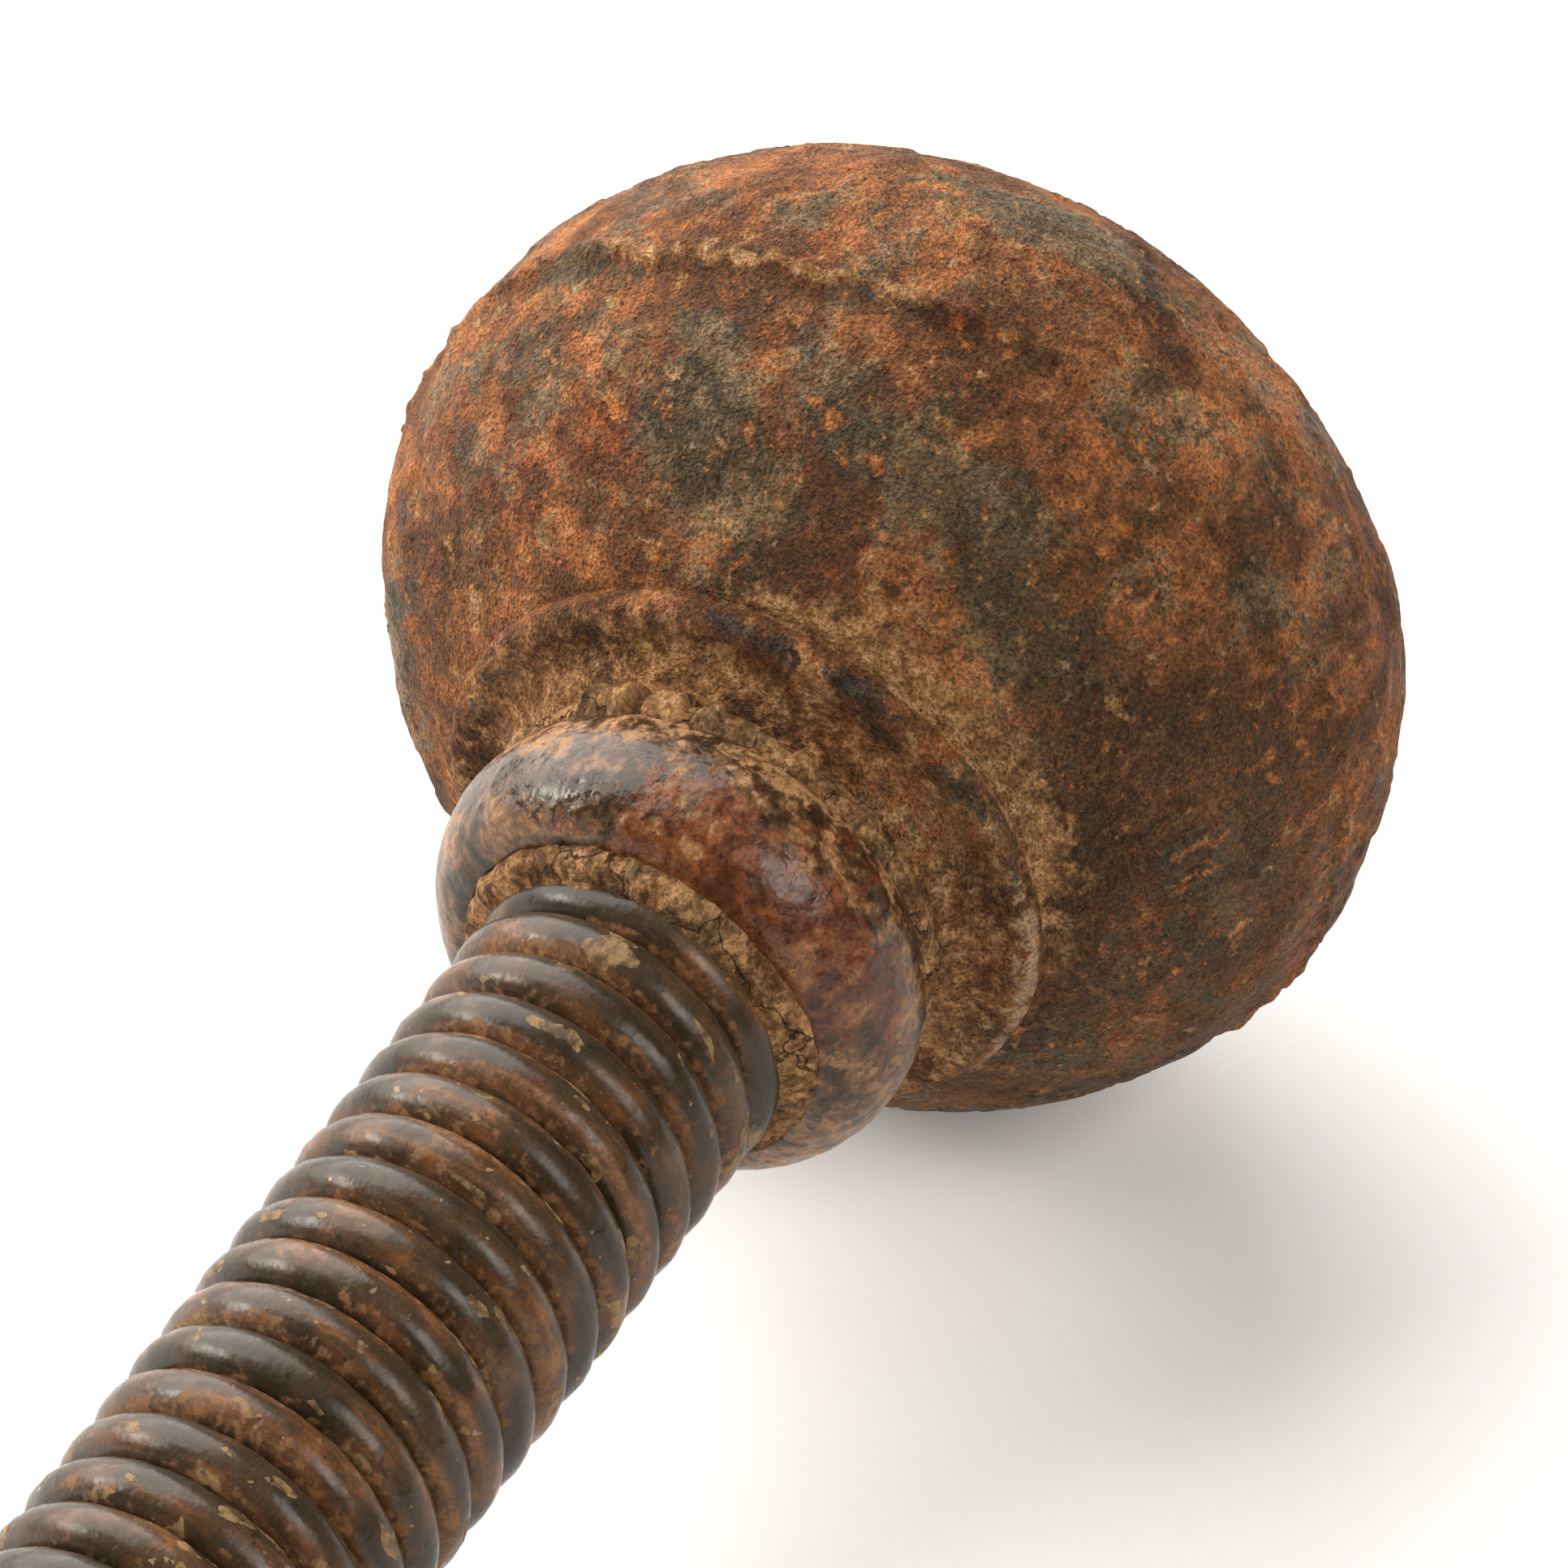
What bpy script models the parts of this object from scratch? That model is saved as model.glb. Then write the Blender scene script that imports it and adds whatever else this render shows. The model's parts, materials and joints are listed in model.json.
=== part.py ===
"""A ball-headed club: an iron ball and a neck ring on a close-wound spring shaft, in a turned wooden grip.

The shaft's own frame has its local Z along the shaft, from the grip to the ball, with its zero near the
neck ring. Every height below is a distance along that axis. Local X points down at the ground, and local
Y is level. The club lies at rest: the ball and the grip's swelled end both touch the ground.

The spring is one wire on the real object. It is cut here into lengths of a few turns, so that it can
bend. A hinge stands at each cut, on the wire's centre, so the turns keep their spacing on that side and
part on the other, as close-wound turns do.
"""

import math

import bmesh
import bpy
from mathutils import Matrix, Vector

MM = 0.001
GAP = 0.3 * MM

# The ball, with its dished collar
BALL_RADIUS = 31.2 * MM
BALL_HALF_HEIGHT = 24.2 * MM
BALL_CENTRE = 38.0 * MM
LIP_RADIUS = 19.0 * MM
LIP_HEIGHT = 17.9 * MM
SEAT_HEIGHT = 15.5 * MM
SEAT_RADIUS = 13.0 * MM
HEAD_LEAN = math.radians(2.6)
HEAD_LEAN_AZIMUTH = math.radians(114)
SEAT_OFFSET = 0.55 * MM

# The neck ring, a fat bead round the end of the spring
RING_MOUTH_HEIGHT = 4.9 * MM
RING_MOUTH_RADIUS = 11.3 * MM
RING_CREST_HEIGHT = 10.2 * MM
RING_RADIUS = 15.0 * MM
RING_BACK_RADIUS = 13.2 * MM
RING_OFFSET = 0.3 * MM
RECESS_DEPTH = 4.0 * MM

# The spring: wire size, pitch and the cuts between its lengths
WIRE_RADIUS = 1.7 * MM
COIL_PITCH = 3.5 * MM
COIL_RADIUS = 8.3 * MM
COIL_OUTSIDE = COIL_RADIUS + WIRE_RADIUS
COIL_INSIDE = COIL_RADIUS - WIRE_RADIUS
POINTS_PER_TURN = 12
TOP_CUT_HEIGHT = -5.3 * MM
TURNS_PER_LENGTH = 3.25
LENGTH_COUNT = 11
HEAD_END_TURNS = 4.25
GRIP_END_TURNS = 5.25
BEND_NAMES = ("down", "left", "up", "right")

# Running room between the spring and what holds its ends
BORE_RADIUS = COIL_OUTSIDE + 0.35 * MM
STUD_RADIUS = COIL_INSIDE - 0.4 * MM
STUD_BOTTOM = -2.0 * MM
STUD_TOP = 36.0 * MM
STUD_NECK_RADIUS = 4.4 * MM
STUD_SHOULDER = 19.0 * MM
BORE_TOP = 20.0 * MM
STUD_BORE_TOP = STUD_TOP + GAP

# The grip, measured back from its ferrule's mouth
FERRULE_MOUTH = -138.0 * MM
FERRULE_LENGTH = 24.0 * MM
FERRULE_INSIDE = 11.3 * MM
FERRULE_OUTSIDE = 12.9 * MM
BEAD_RADIUS = 0.8 * MM
TENON_FRONT = FERRULE_MOUTH - 13.5 * MM
TENON_RADIUS = FERRULE_INSIDE - GAP
WOOD_SHOULDER = FERRULE_MOUTH - FERRULE_LENGTH - GAP
WOOD_END = FERRULE_MOUTH - 128.0 * MM
KNOB_RADIUS = 18.0 * MM
KNOB_HEIGHT = WOOD_END + 9.0 * MM
ROD_RADIUS = 3.0 * MM
ROD_HOLE_RADIUS = ROD_RADIUS + GAP
PIN_RADIUS = 1.2 * MM
PIN_HEIGHT = FERRULE_MOUTH - 19.0 * MM
PIN_INNER_END = 5.5 * MM
CAP_TOP = WOOD_END - GAP
CAP_THICKNESS = 5.0 * MM
CAP_RADIUS = 15.6 * MM
CAP_RECESS_RADIUS = 7.0 * MM
CAP_RECESS_DEPTH = 3.5 * MM
WASHER_RADIUS = 6.6 * MM
WASHER_THICKNESS = 0.8 * MM
NUT_RADIUS = 5.6 * MM
NUT_THICKNESS = 1.8 * MM

# How the club lies: the ball's underside and the knob's share the ground
REST_TILT = math.asin((BALL_RADIUS - KNOB_RADIUS) / (BALL_CENTRE - KNOB_HEIGHT))

ROUND_STEPS = 40
SMALL_STEPS = 24
PIN_STEPS = 12
MERGE_DISTANCE = 0.00001


def clear_scene():
    """Removes what the file holds already."""
    for old in list(bpy.data.objects):
        bpy.data.objects.remove(old, do_unlink=True)


def new_collection(name):
    """An empty collection in the scene."""
    collection = bpy.data.collections.new(name)
    bpy.context.scene.collection.children.link(collection)
    return collection


def new_material(name, colour, roughness, metallic):
    """A plain Principled material."""
    material = bpy.data.materials.new(name)
    material.use_nodes = True
    shader = material.node_tree.nodes["Principled BSDF"]
    shader.inputs["Base Color"].default_value = (*colour, 1.0)
    shader.inputs["Roughness"].default_value = roughness
    shader.inputs["Metallic"].default_value = metallic
    return material


def new_empty(name, parent, location=(0.0, 0.0, 0.0), rotation=(0.0, 0.0, 0.0)):
    """An empty that other objects hang from."""
    empty = bpy.data.objects.new(name, None)
    empty.empty_display_size = 5 * MM
    empty.parent = parent
    empty.location = location
    empty.rotation_euler = rotation
    PARTS.objects.link(empty)
    return empty


def quarter_arc(start, end, centre, count):
    """Points of an ellipse's arc about centre, from start to end, given as (radius, height) pairs.

    Both ends are turned into angles on the ellipse that passes through them with axes along the
    two directions, so start and end must lie on its axes.
    """
    wide = max(abs(start[0] - centre[0]), abs(end[0] - centre[0]))
    high = max(abs(start[1] - centre[1]), abs(end[1] - centre[1]))
    first = math.atan2((start[1] - centre[1]) / high, (start[0] - centre[0]) / wide)
    last = math.atan2((end[1] - centre[1]) / high, (end[0] - centre[0]) / wide)
    points = []
    for i in range(count + 1):
        angle = first + (last - first) * i / count
        points.append((centre[0] + wide * math.cos(angle), centre[1] + high * math.sin(angle)))
    return points


def bezier(start, pull, end, count):
    """Points on a quadratic curve that leaves start towards pull and arrives at end from it."""
    points = []
    for i in range(count + 1):
        t = i / count
        a, b, c = (1 - t) ** 2, 2 * t * (1 - t), t**2
        points.append(tuple(a * start[k] + b * pull[k] + c * end[k] for k in (0, 1)))
    return points


def turned(name, profile, parent, material, steps=ROUND_STEPS, location=(0.0, 0.0, 0.0)):
    """A solid of revolution about local Z.

    profile is a list of (radius, height) pairs down the outside, then back up any bore. A profile
    whose ends both lie on the axis is a full solid, and any other is closed into a loop.
    """
    mesh = bpy.data.meshes.new(name)
    points = [(radius, 0.0, height) for radius, height in profile]
    edges = [(i, i + 1) for i in range(len(points) - 1)]
    if profile[0][0] > 0 or profile[-1][0] > 0:
        edges.append((len(points) - 1, 0))
    mesh.from_pydata(points, edges, [])
    body = bpy.data.objects.new(name, mesh)
    PARTS.objects.link(body)
    body.parent = parent
    body.location = location
    mesh.materials.append(material)
    spin = body.modifiers.new("spin", "SCREW")
    spin.axis = "Z"
    spin.steps = steps
    spin.render_steps = steps
    spin.use_merge_vertices = True
    spin.merge_threshold = MERGE_DISTANCE
    spin.use_smooth_shade = True
    return body


def helix_point(turn):
    """A point on the wire's centre line, turn turns above the top cut. The spring is left-handed."""
    azimuth = -2 * math.pi * turn
    height = TOP_CUT_HEIGHT + COIL_PITCH * turn
    return Vector((COIL_RADIUS * math.cos(azimuth), COIL_RADIUS * math.sin(azimuth), height))


def wire(name, first_turn, last_turn, origin, parent, material, cut_first=True, cut_last=True):
    """A length of the spring between two turns, short of each cut by half the gap there.

    Each end lies in the middle of one of the straight steps that make up a turn, so that the faces
    of two lengths that meet are parallel.
    """
    step = 1 / POINTS_PER_TURN
    count = round((last_turn - first_turn) * POINTS_PER_TURN)
    points = [helix_point(first_turn + (i + 0.5) * step) for i in range(-1, count + 1)]
    points[0] = (points[0] + points[1]) / 2
    points[-1] = (points[-2] + points[-1]) / 2
    if cut_first:
        points[0] += (points[1] - points[0]).normalized() * GAP / 2
    if cut_last:
        points[-1] += (points[-2] - points[-1]).normalized() * GAP / 2
    curve = bpy.data.curves.new(name, "CURVE")
    curve.dimensions = "3D"
    curve.bevel_depth = WIRE_RADIUS
    curve.bevel_resolution = 2
    curve.use_fill_caps = True
    spline = curve.splines.new("POLY")
    spline.points.add(len(points) - 1)
    for knot, point in zip(spline.points, points, strict=True):
        knot.co = (*(point - origin), 1.0)
    curve.materials.append(material)
    body = bpy.data.objects.new(name, curve)
    body.parent = parent
    PARTS.objects.link(body)
    return body


def build_spring(shaft, material):
    """The spring's lengths, each hanging from the hinge at its lower cut. Returns the hinge under the head."""
    cut_turns = [(i - LENGTH_COUNT) * TURNS_PER_LENGTH for i in range(LENGTH_COUNT + 1)]
    foot = cut_turns[0] - GRIP_END_TURNS
    wire("coil_grip_end", foot, cut_turns[0], Vector(), shaft, material, cut_first=False)
    parent, parent_place = shaft, Vector()
    for i, turn in enumerate(cut_turns):
        place = helix_point(turn)
        steps_to_top = LENGTH_COUNT - i
        direction = BEND_NAMES[steps_to_top % len(BEND_NAMES)]
        number = 1 + i // len(BEND_NAMES)
        hinge = new_empty(f"hinge_bend_{direction}_{number}", parent, place - parent_place)
        if i < LENGTH_COUNT:
            wire(f"coil_turns_{i + 1:02d}", turn, cut_turns[i + 1], place, hinge, material)
        else:
            wire("coil_head_end", turn, turn + HEAD_END_TURNS, place, hinge, material, cut_last=False)
        parent, parent_place = hinge, place
    return parent, parent_place


def ball_profile():
    """Ball, hollow behind the lip, lip, dished throat, seat and bore, with heights from the seat."""
    centre = BALL_CENTRE - SEAT_HEIGHT
    lip = LIP_HEIGHT - SEAT_HEIGHT
    join_angle = math.radians(128)
    join_steps = 13
    points = []
    for i in range(join_steps + 1):
        angle = join_angle * i / join_steps
        points.append((BALL_RADIUS * math.sin(angle), centre + BALL_HALF_HEIGHT * math.cos(angle)))
    hollow_pull = (LIP_RADIUS + 2.0 * MM, lip + 1.4 * MM)
    hollow_end = (LIP_RADIUS - 0.4 * MM, lip + 0.8 * MM)
    points += bezier(points[-1], hollow_pull, hollow_end, 4)[1:]
    points.append((LIP_RADIUS, lip + 0.2 * MM))
    points.append((LIP_RADIUS - 0.1 * MM, lip - 0.2 * MM))
    throat_start = (LIP_RADIUS - 0.5 * MM, lip - 0.3 * MM)
    throat_pull = (SEAT_RADIUS + 1.8 * MM, lip + 0.9 * MM)
    points += bezier(throat_start, throat_pull, (SEAT_RADIUS, 0.0), 5)
    points.append((BORE_RADIUS, 0.0))
    points.append((BORE_RADIUS, BORE_TOP - SEAT_HEIGHT))
    points.append((STUD_RADIUS + GAP, BORE_TOP - SEAT_HEIGHT))
    points.append((STUD_RADIUS + GAP, STUD_BORE_TOP - SEAT_HEIGHT))
    points.append((0.0, STUD_BORE_TOP - SEAT_HEIGHT))
    return points


def build_head(hinge, hinge_place, materials):
    """Everything on the ball's side of the last hinge."""
    head = new_empty("head", hinge, -hinge_place)
    lean_direction = Vector((math.cos(HEAD_LEAN_AZIMUTH), math.sin(HEAD_LEAN_AZIMUTH), 0.0))
    lean_axis = Vector((0.0, 0.0, 1.0)).cross(lean_direction)
    lean = Matrix.Rotation(HEAD_LEAN, 3, lean_axis).to_euler()
    seat = new_empty("head_seat", head, lean_direction * SEAT_OFFSET + Vector((0, 0, SEAT_HEIGHT)), lean)
    turned("ball_head", ball_profile(), seat, materials["ball"])

    ring_top = SEAT_HEIGHT - GAP - RING_RADIUS * math.sin(HEAD_LEAN)
    crest = (RING_RADIUS, RING_CREST_HEIGHT)
    mouth = (RING_MOUTH_RADIUS, RING_MOUTH_HEIGHT)
    back = bezier((RING_BACK_RADIUS, ring_top), (RING_RADIUS, ring_top - 1.8 * MM), crest, 4)
    front = quarter_arc(crest, mouth, (RING_MOUTH_RADIUS, RING_CREST_HEIGHT), 5)
    ring = back + front[1:]
    ring.append((RING_MOUTH_RADIUS, RING_MOUTH_HEIGHT + RECESS_DEPTH))
    ring.append((BORE_RADIUS + RING_OFFSET, RING_MOUTH_HEIGHT + RECESS_DEPTH))
    ring.append((BORE_RADIUS + RING_OFFSET, ring_top))
    turned("neck_ring", ring, head, materials["ring"], location=lean_direction * RING_OFFSET)

    packing_bottom = RING_MOUTH_HEIGHT - 0.5 * MM
    packing_top = RING_MOUTH_HEIGHT + RECESS_DEPTH - GAP
    packing_inside = COIL_OUTSIDE + 0.2 * MM
    packing_outside = RING_MOUTH_RADIUS - GAP - RING_OFFSET
    packing = [
        (packing_outside, packing_top),
        (packing_outside, packing_bottom),
        (packing_inside, packing_bottom),
        (packing_inside, packing_top),
    ]
    turned("seat_packing", packing, head, materials["putty"])

    stud = [
        (0.0, STUD_TOP),
        (STUD_NECK_RADIUS, STUD_TOP),
        (STUD_NECK_RADIUS, STUD_SHOULDER),
        (STUD_RADIUS, STUD_SHOULDER),
        (STUD_RADIUS, STUD_BOTTOM + 1.0 * MM),
        (STUD_RADIUS - 1.0 * MM, STUD_BOTTOM),
        (0.0, STUD_BOTTOM),
    ]
    turned("head_stud", stud, head, materials["steel"], SMALL_STEPS)


def grip_profile():
    """The wood from its tenon to its end, then back up the rod's hole."""
    points = [(TENON_RADIUS - 0.6 * MM, TENON_FRONT), (TENON_RADIUS, TENON_FRONT - 0.6 * MM)]
    points.append((TENON_RADIUS, WOOD_SHOULDER))
    points.append((FERRULE_OUTSIDE - 0.3 * MM, WOOD_SHOULDER))
    waist = (14.2 * MM, KNOB_HEIGHT + 18.0 * MM)
    swell = (15.4 * MM, WOOD_SHOULDER - 38.0 * MM)
    knob = (KNOB_RADIUS, KNOB_HEIGHT)
    knob_shoulder = (16.9 * MM, KNOB_HEIGHT + 4.5 * MM)
    front = (FERRULE_OUTSIDE, WOOD_SHOULDER - 0.4 * MM)
    points += bezier(front, (swell[0], WOOD_SHOULDER - 14 * MM), swell, 4)
    points += bezier(swell, (15.0 * MM, swell[1] - 14 * MM), waist, 3)[1:]
    points += bezier(waist, (14.6 * MM, KNOB_HEIGHT + 8.0 * MM), knob_shoulder, 3)[1:]
    points += bezier(knob_shoulder, (KNOB_RADIUS, KNOB_HEIGHT + 2.5 * MM), knob, 2)[1:]
    points += quarter_arc(knob, (CAP_RADIUS, WOOD_END), (CAP_RADIUS, KNOB_HEIGHT), 4)[1:]
    points.append((ROD_HOLE_RADIUS, WOOD_END))
    points.append((ROD_HOLE_RADIUS, TENON_FRONT))
    return points


def ferrule_profile():
    """A tube with a rolled bead at each end."""
    top, bottom = FERRULE_MOUTH, FERRULE_MOUTH - FERRULE_LENGTH
    bead = FERRULE_OUTSIDE + BEAD_RADIUS
    points = [(FERRULE_INSIDE, top), (FERRULE_OUTSIDE, top)]
    points += [(bead, top - 0.7 * MM), (bead, top - 1.7 * MM), (FERRULE_OUTSIDE, top - 2.4 * MM)]
    points += [(FERRULE_OUTSIDE, bottom + 2.4 * MM), (bead, bottom + 1.7 * MM), (bead, bottom + 0.7 * MM)]
    points += [(FERRULE_OUTSIDE, bottom), (FERRULE_INSIDE, bottom)]
    return points


def cut_pin_holes(body, name, cutters):
    """Drills the two pin holes through body, level and square to the shaft."""
    length = 2 * (FERRULE_OUTSIDE + 2 * BEAD_RADIUS)
    mesh = bpy.data.meshes.new(name)
    form = bmesh.new()
    bmesh.ops.create_cone(
        form,
        cap_ends=True,
        segments=PIN_STEPS,
        radius1=PIN_RADIUS + GAP,
        radius2=PIN_RADIUS + GAP,
        depth=length,
        matrix=Matrix.Rotation(math.pi / 2, 4, "X"),
    )
    form.to_mesh(mesh)
    form.free()
    cutter = bpy.data.objects.new(name, mesh)
    cutters.objects.link(cutter)
    cutter.parent = body.parent
    cutter.location = (0.0, 0.0, PIN_HEIGHT)
    cutter.display_type = "WIRE"
    cutter.hide_render = True
    drill = body.modifiers.new("pin_holes", "BOOLEAN")
    drill.operation = "DIFFERENCE"
    drill.solver = "EXACT"
    drill.object = cutter


def build_pins(shaft, material):
    """Two short pins that hold the ferrule to the wood."""
    pin_length = FERRULE_OUTSIDE + 0.4 * MM - PIN_INNER_END
    half = pin_length / 2
    pin = [(0.0, half), (PIN_RADIUS, half), (PIN_RADIUS, -half), (0.0, -half)]
    for side, sign in (("left", 1), ("right", -1)):
        body = turned(f"ferrule_pin_{side}", pin, shaft, material, PIN_STEPS)
        body.location = (0.0, sign * (PIN_INNER_END + half), PIN_HEIGHT)
        body.rotation_euler = (-sign * math.pi / 2, 0.0, 0.0)


def build_nut(shaft, material):
    """A plain hexagonal nut with its corners eased."""
    top = CAP_TOP - CAP_THICKNESS + CAP_RECESS_DEPTH - GAP - WASHER_THICKNESS - GAP
    profile = [
        (NUT_RADIUS, top),
        (NUT_RADIUS, top - NUT_THICKNESS + 0.4 * MM),
        (NUT_RADIUS - 0.4 * MM, top - NUT_THICKNESS),
        (ROD_HOLE_RADIUS + 0.2 * MM, top - NUT_THICKNESS),
        (ROD_HOLE_RADIUS + 0.2 * MM, top),
    ]
    nut = turned("pommel_nut", profile, shaft, material, 6)
    nut.modifiers["spin"].use_smooth_shade = False


def build_grip(shaft, materials):
    """The ferrule, packing, rod, wood, pins, end cap, washer and nut."""
    cutters = new_collection("cutters")
    ferrule = turned("grip_ferrule", ferrule_profile(), shaft, materials["ferrule"])
    cut_pin_holes(ferrule, "ferrule_drill", cutters)
    wood = turned("wood_grip", grip_profile(), shaft, materials["wood"])
    cut_pin_holes(wood, "wood_drill", cutters)
    build_pins(shaft, materials["steel"])

    packing_inside = COIL_OUTSIDE + 0.2 * MM
    packing = [
        (FERRULE_INSIDE - GAP, FERRULE_MOUTH + 0.4 * MM),
        (FERRULE_INSIDE - GAP, TENON_FRONT + GAP),
        (packing_inside, TENON_FRONT + GAP),
        (packing_inside, FERRULE_MOUTH + 0.4 * MM),
    ]
    turned("grip_packing", packing, shaft, materials["putty"])

    cap_bottom = CAP_TOP - CAP_THICKNESS
    recess_top = cap_bottom + CAP_RECESS_DEPTH
    plug_top = FERRULE_MOUTH + 3.0 * MM
    plug_bottom = TENON_FRONT + GAP
    rod = [
        (0.0, plug_top),
        (STUD_RADIUS, plug_top),
        (STUD_RADIUS, plug_bottom),
        (ROD_RADIUS, plug_bottom),
        (ROD_RADIUS, cap_bottom + 0.2 * MM),
        (0.0, cap_bottom + 0.2 * MM),
    ]
    turned("grip_rod", rod, shaft, materials["steel"], SMALL_STEPS)

    rim, rim_curve = CAP_RADIUS - 0.5 * MM, 2.0 * MM
    rim_foot = (rim, cap_bottom + rim_curve)
    rim_end = (rim - rim_curve, cap_bottom)
    cap = [(rim, CAP_TOP), rim_foot]
    cap += quarter_arc(rim_foot, rim_end, (rim - rim_curve, cap_bottom + rim_curve), 3)[1:]
    cap.append((CAP_RECESS_RADIUS, cap_bottom))
    cap.append((CAP_RECESS_RADIUS, recess_top))
    cap.append((ROD_HOLE_RADIUS, recess_top))
    cap.append((ROD_HOLE_RADIUS, CAP_TOP))
    turned("pommel_cap", cap, shaft, materials["ferrule"])

    washer_top = recess_top - GAP
    washer = [
        (WASHER_RADIUS, washer_top),
        (WASHER_RADIUS, washer_top - WASHER_THICKNESS),
        (ROD_HOLE_RADIUS, washer_top - WASHER_THICKNESS),
        (ROD_HOLE_RADIUS, washer_top),
    ]
    turned("pommel_washer", washer, shaft, materials["steel"], SMALL_STEPS)
    build_nut(shaft, materials["steel"])


def stand_on_origin(root):
    """Moves the club so that the origin is the middle of the underside of its box."""
    bpy.context.view_layer.update()
    graph = bpy.context.evaluated_depsgraph_get()
    corners = []
    for body in PARTS.objects:
        if body.type in {"MESH", "CURVE"}:
            solid = body.evaluated_get(graph)
            shape = solid.to_mesh()
            corners += [solid.matrix_world @ point.co for point in shape.vertices]
            solid.to_mesh_clear()
    low = Vector(min(corner[k] for corner in corners) for k in range(3))
    high = Vector(max(corner[k] for corner in corners) for k in range(3))
    root.location = (-(low.x + high.x) / 2, -(low.y + high.y) / 2, -low.z)
    bpy.context.view_layer.update()


clear_scene()
PARTS = new_collection("ball_headed_club")
MATERIALS = {
    "ball": new_material("rusted_iron", (0.20, 0.085, 0.045), 0.85, 0.3),
    "ring": new_material("painted_iron", (0.16, 0.05, 0.035), 0.45, 0.2),
    "putty": new_material("dry_putty", (0.36, 0.26, 0.15), 0.95, 0.0),
    "spring": new_material("spring_steel", (0.10, 0.07, 0.05), 0.45, 0.7),
    "steel": new_material("dull_steel", (0.30, 0.28, 0.26), 0.5, 0.9),
    "ferrule": new_material("dark_steel", (0.14, 0.11, 0.09), 0.55, 0.8),
    "wood": new_material("oiled_wood", (0.23, 0.11, 0.05), 0.6, 0.0),
}
club = new_empty("club", None)
shaft_axis = new_empty("shaft_axis", club, rotation=(0.0, math.pi / 2 - REST_TILT, 0.0))
top_hinge, top_place = build_spring(shaft_axis, MATERIALS["spring"])
build_head(top_hinge, top_place, MATERIALS)
build_grip(shaft_axis, MATERIALS)
for part in PARTS.objects:
    if part.type == "MESH":
        part.data.shade_smooth()
stand_on_origin(club)
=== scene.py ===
"""The looks of the ball-headed spring club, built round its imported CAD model.

Shapes are made in the shaft's own frame, in millimetres: local Z runs along the shaft to the ball, local X
points down and local Y is level. Heights are distances along Z. The ball's frame leans from that one, and the
ring's lies a little to the side. The attribute "rest" keeps a place for each vertex in the frame of its
piece, which the materials read, so that a pattern stays on a piece that bends.
"""

import json
import math

import bpy
import numpy as np
from mathutils import Matrix, Vector, noise


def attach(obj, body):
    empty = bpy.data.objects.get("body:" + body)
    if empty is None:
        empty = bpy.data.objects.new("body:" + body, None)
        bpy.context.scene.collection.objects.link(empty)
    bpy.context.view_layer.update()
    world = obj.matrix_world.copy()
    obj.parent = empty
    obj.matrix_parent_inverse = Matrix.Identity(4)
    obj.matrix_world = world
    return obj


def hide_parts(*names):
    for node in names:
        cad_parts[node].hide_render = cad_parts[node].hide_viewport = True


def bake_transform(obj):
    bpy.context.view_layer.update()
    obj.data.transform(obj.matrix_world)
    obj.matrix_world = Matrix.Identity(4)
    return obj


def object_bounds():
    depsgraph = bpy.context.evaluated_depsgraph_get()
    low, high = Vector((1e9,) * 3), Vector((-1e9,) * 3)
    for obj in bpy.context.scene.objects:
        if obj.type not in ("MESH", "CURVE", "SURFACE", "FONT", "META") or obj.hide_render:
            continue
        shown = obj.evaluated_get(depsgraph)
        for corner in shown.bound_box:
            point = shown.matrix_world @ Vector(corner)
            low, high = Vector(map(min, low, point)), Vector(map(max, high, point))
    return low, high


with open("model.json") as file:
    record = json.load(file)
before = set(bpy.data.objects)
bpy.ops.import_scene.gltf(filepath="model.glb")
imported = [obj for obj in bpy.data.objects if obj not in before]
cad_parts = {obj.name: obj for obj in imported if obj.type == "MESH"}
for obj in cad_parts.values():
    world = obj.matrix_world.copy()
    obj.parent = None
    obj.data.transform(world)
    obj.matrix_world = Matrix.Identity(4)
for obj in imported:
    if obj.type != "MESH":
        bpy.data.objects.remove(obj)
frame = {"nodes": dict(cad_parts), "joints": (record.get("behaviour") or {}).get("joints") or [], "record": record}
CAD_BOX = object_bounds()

# The CAD's own sizes, in millimetres along and about the shaft
TOP_CUT = -5.3
WIRE_RADIUS = 1.7
TURNS_PER_LENGTH = 3.25
LENGTH_COUNT = 11
HEAD_END_TURNS = 4.25
GRIP_END_TURNS = 5.25
SEAT_HEIGHT = 15.5
SEAT_OFFSET = 0.55
RING_OFFSET = 0.3
HEAD_LEAN = math.radians(2.6)
LEAN_AZIMUTH = math.radians(114)
BALL_RADIUS, BALL_HALF_HEIGHT, BALL_CENTRE = 31.2, 24.2, 38.0 - SEAT_HEIGHT
LIP_RADIUS, LIP_HEIGHT = 19.0, 17.9 - SEAT_HEIGHT
FERRULE_MOUTH = -138.0
FERRULE_INSIDE, FERRULE_OUTSIDE = 11.3, 12.9
WOOD_TOP = FERRULE_MOUTH - 13.5
WOOD_SHOULDER = FERRULE_MOUTH - 24.3
WOOD_END = FERRULE_MOUTH - 128.0
KNOB_RADIUS, KNOB_HEIGHT = 18.0, WOOD_END + 9.0
ROD_HOLE = 3.3
CAP_RADIUS, CAP_TOP = 15.1, WOOD_END - 0.3
CAP_END = CAP_TOP - 5.0

# ---- the shaft's frame, from the record

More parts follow.
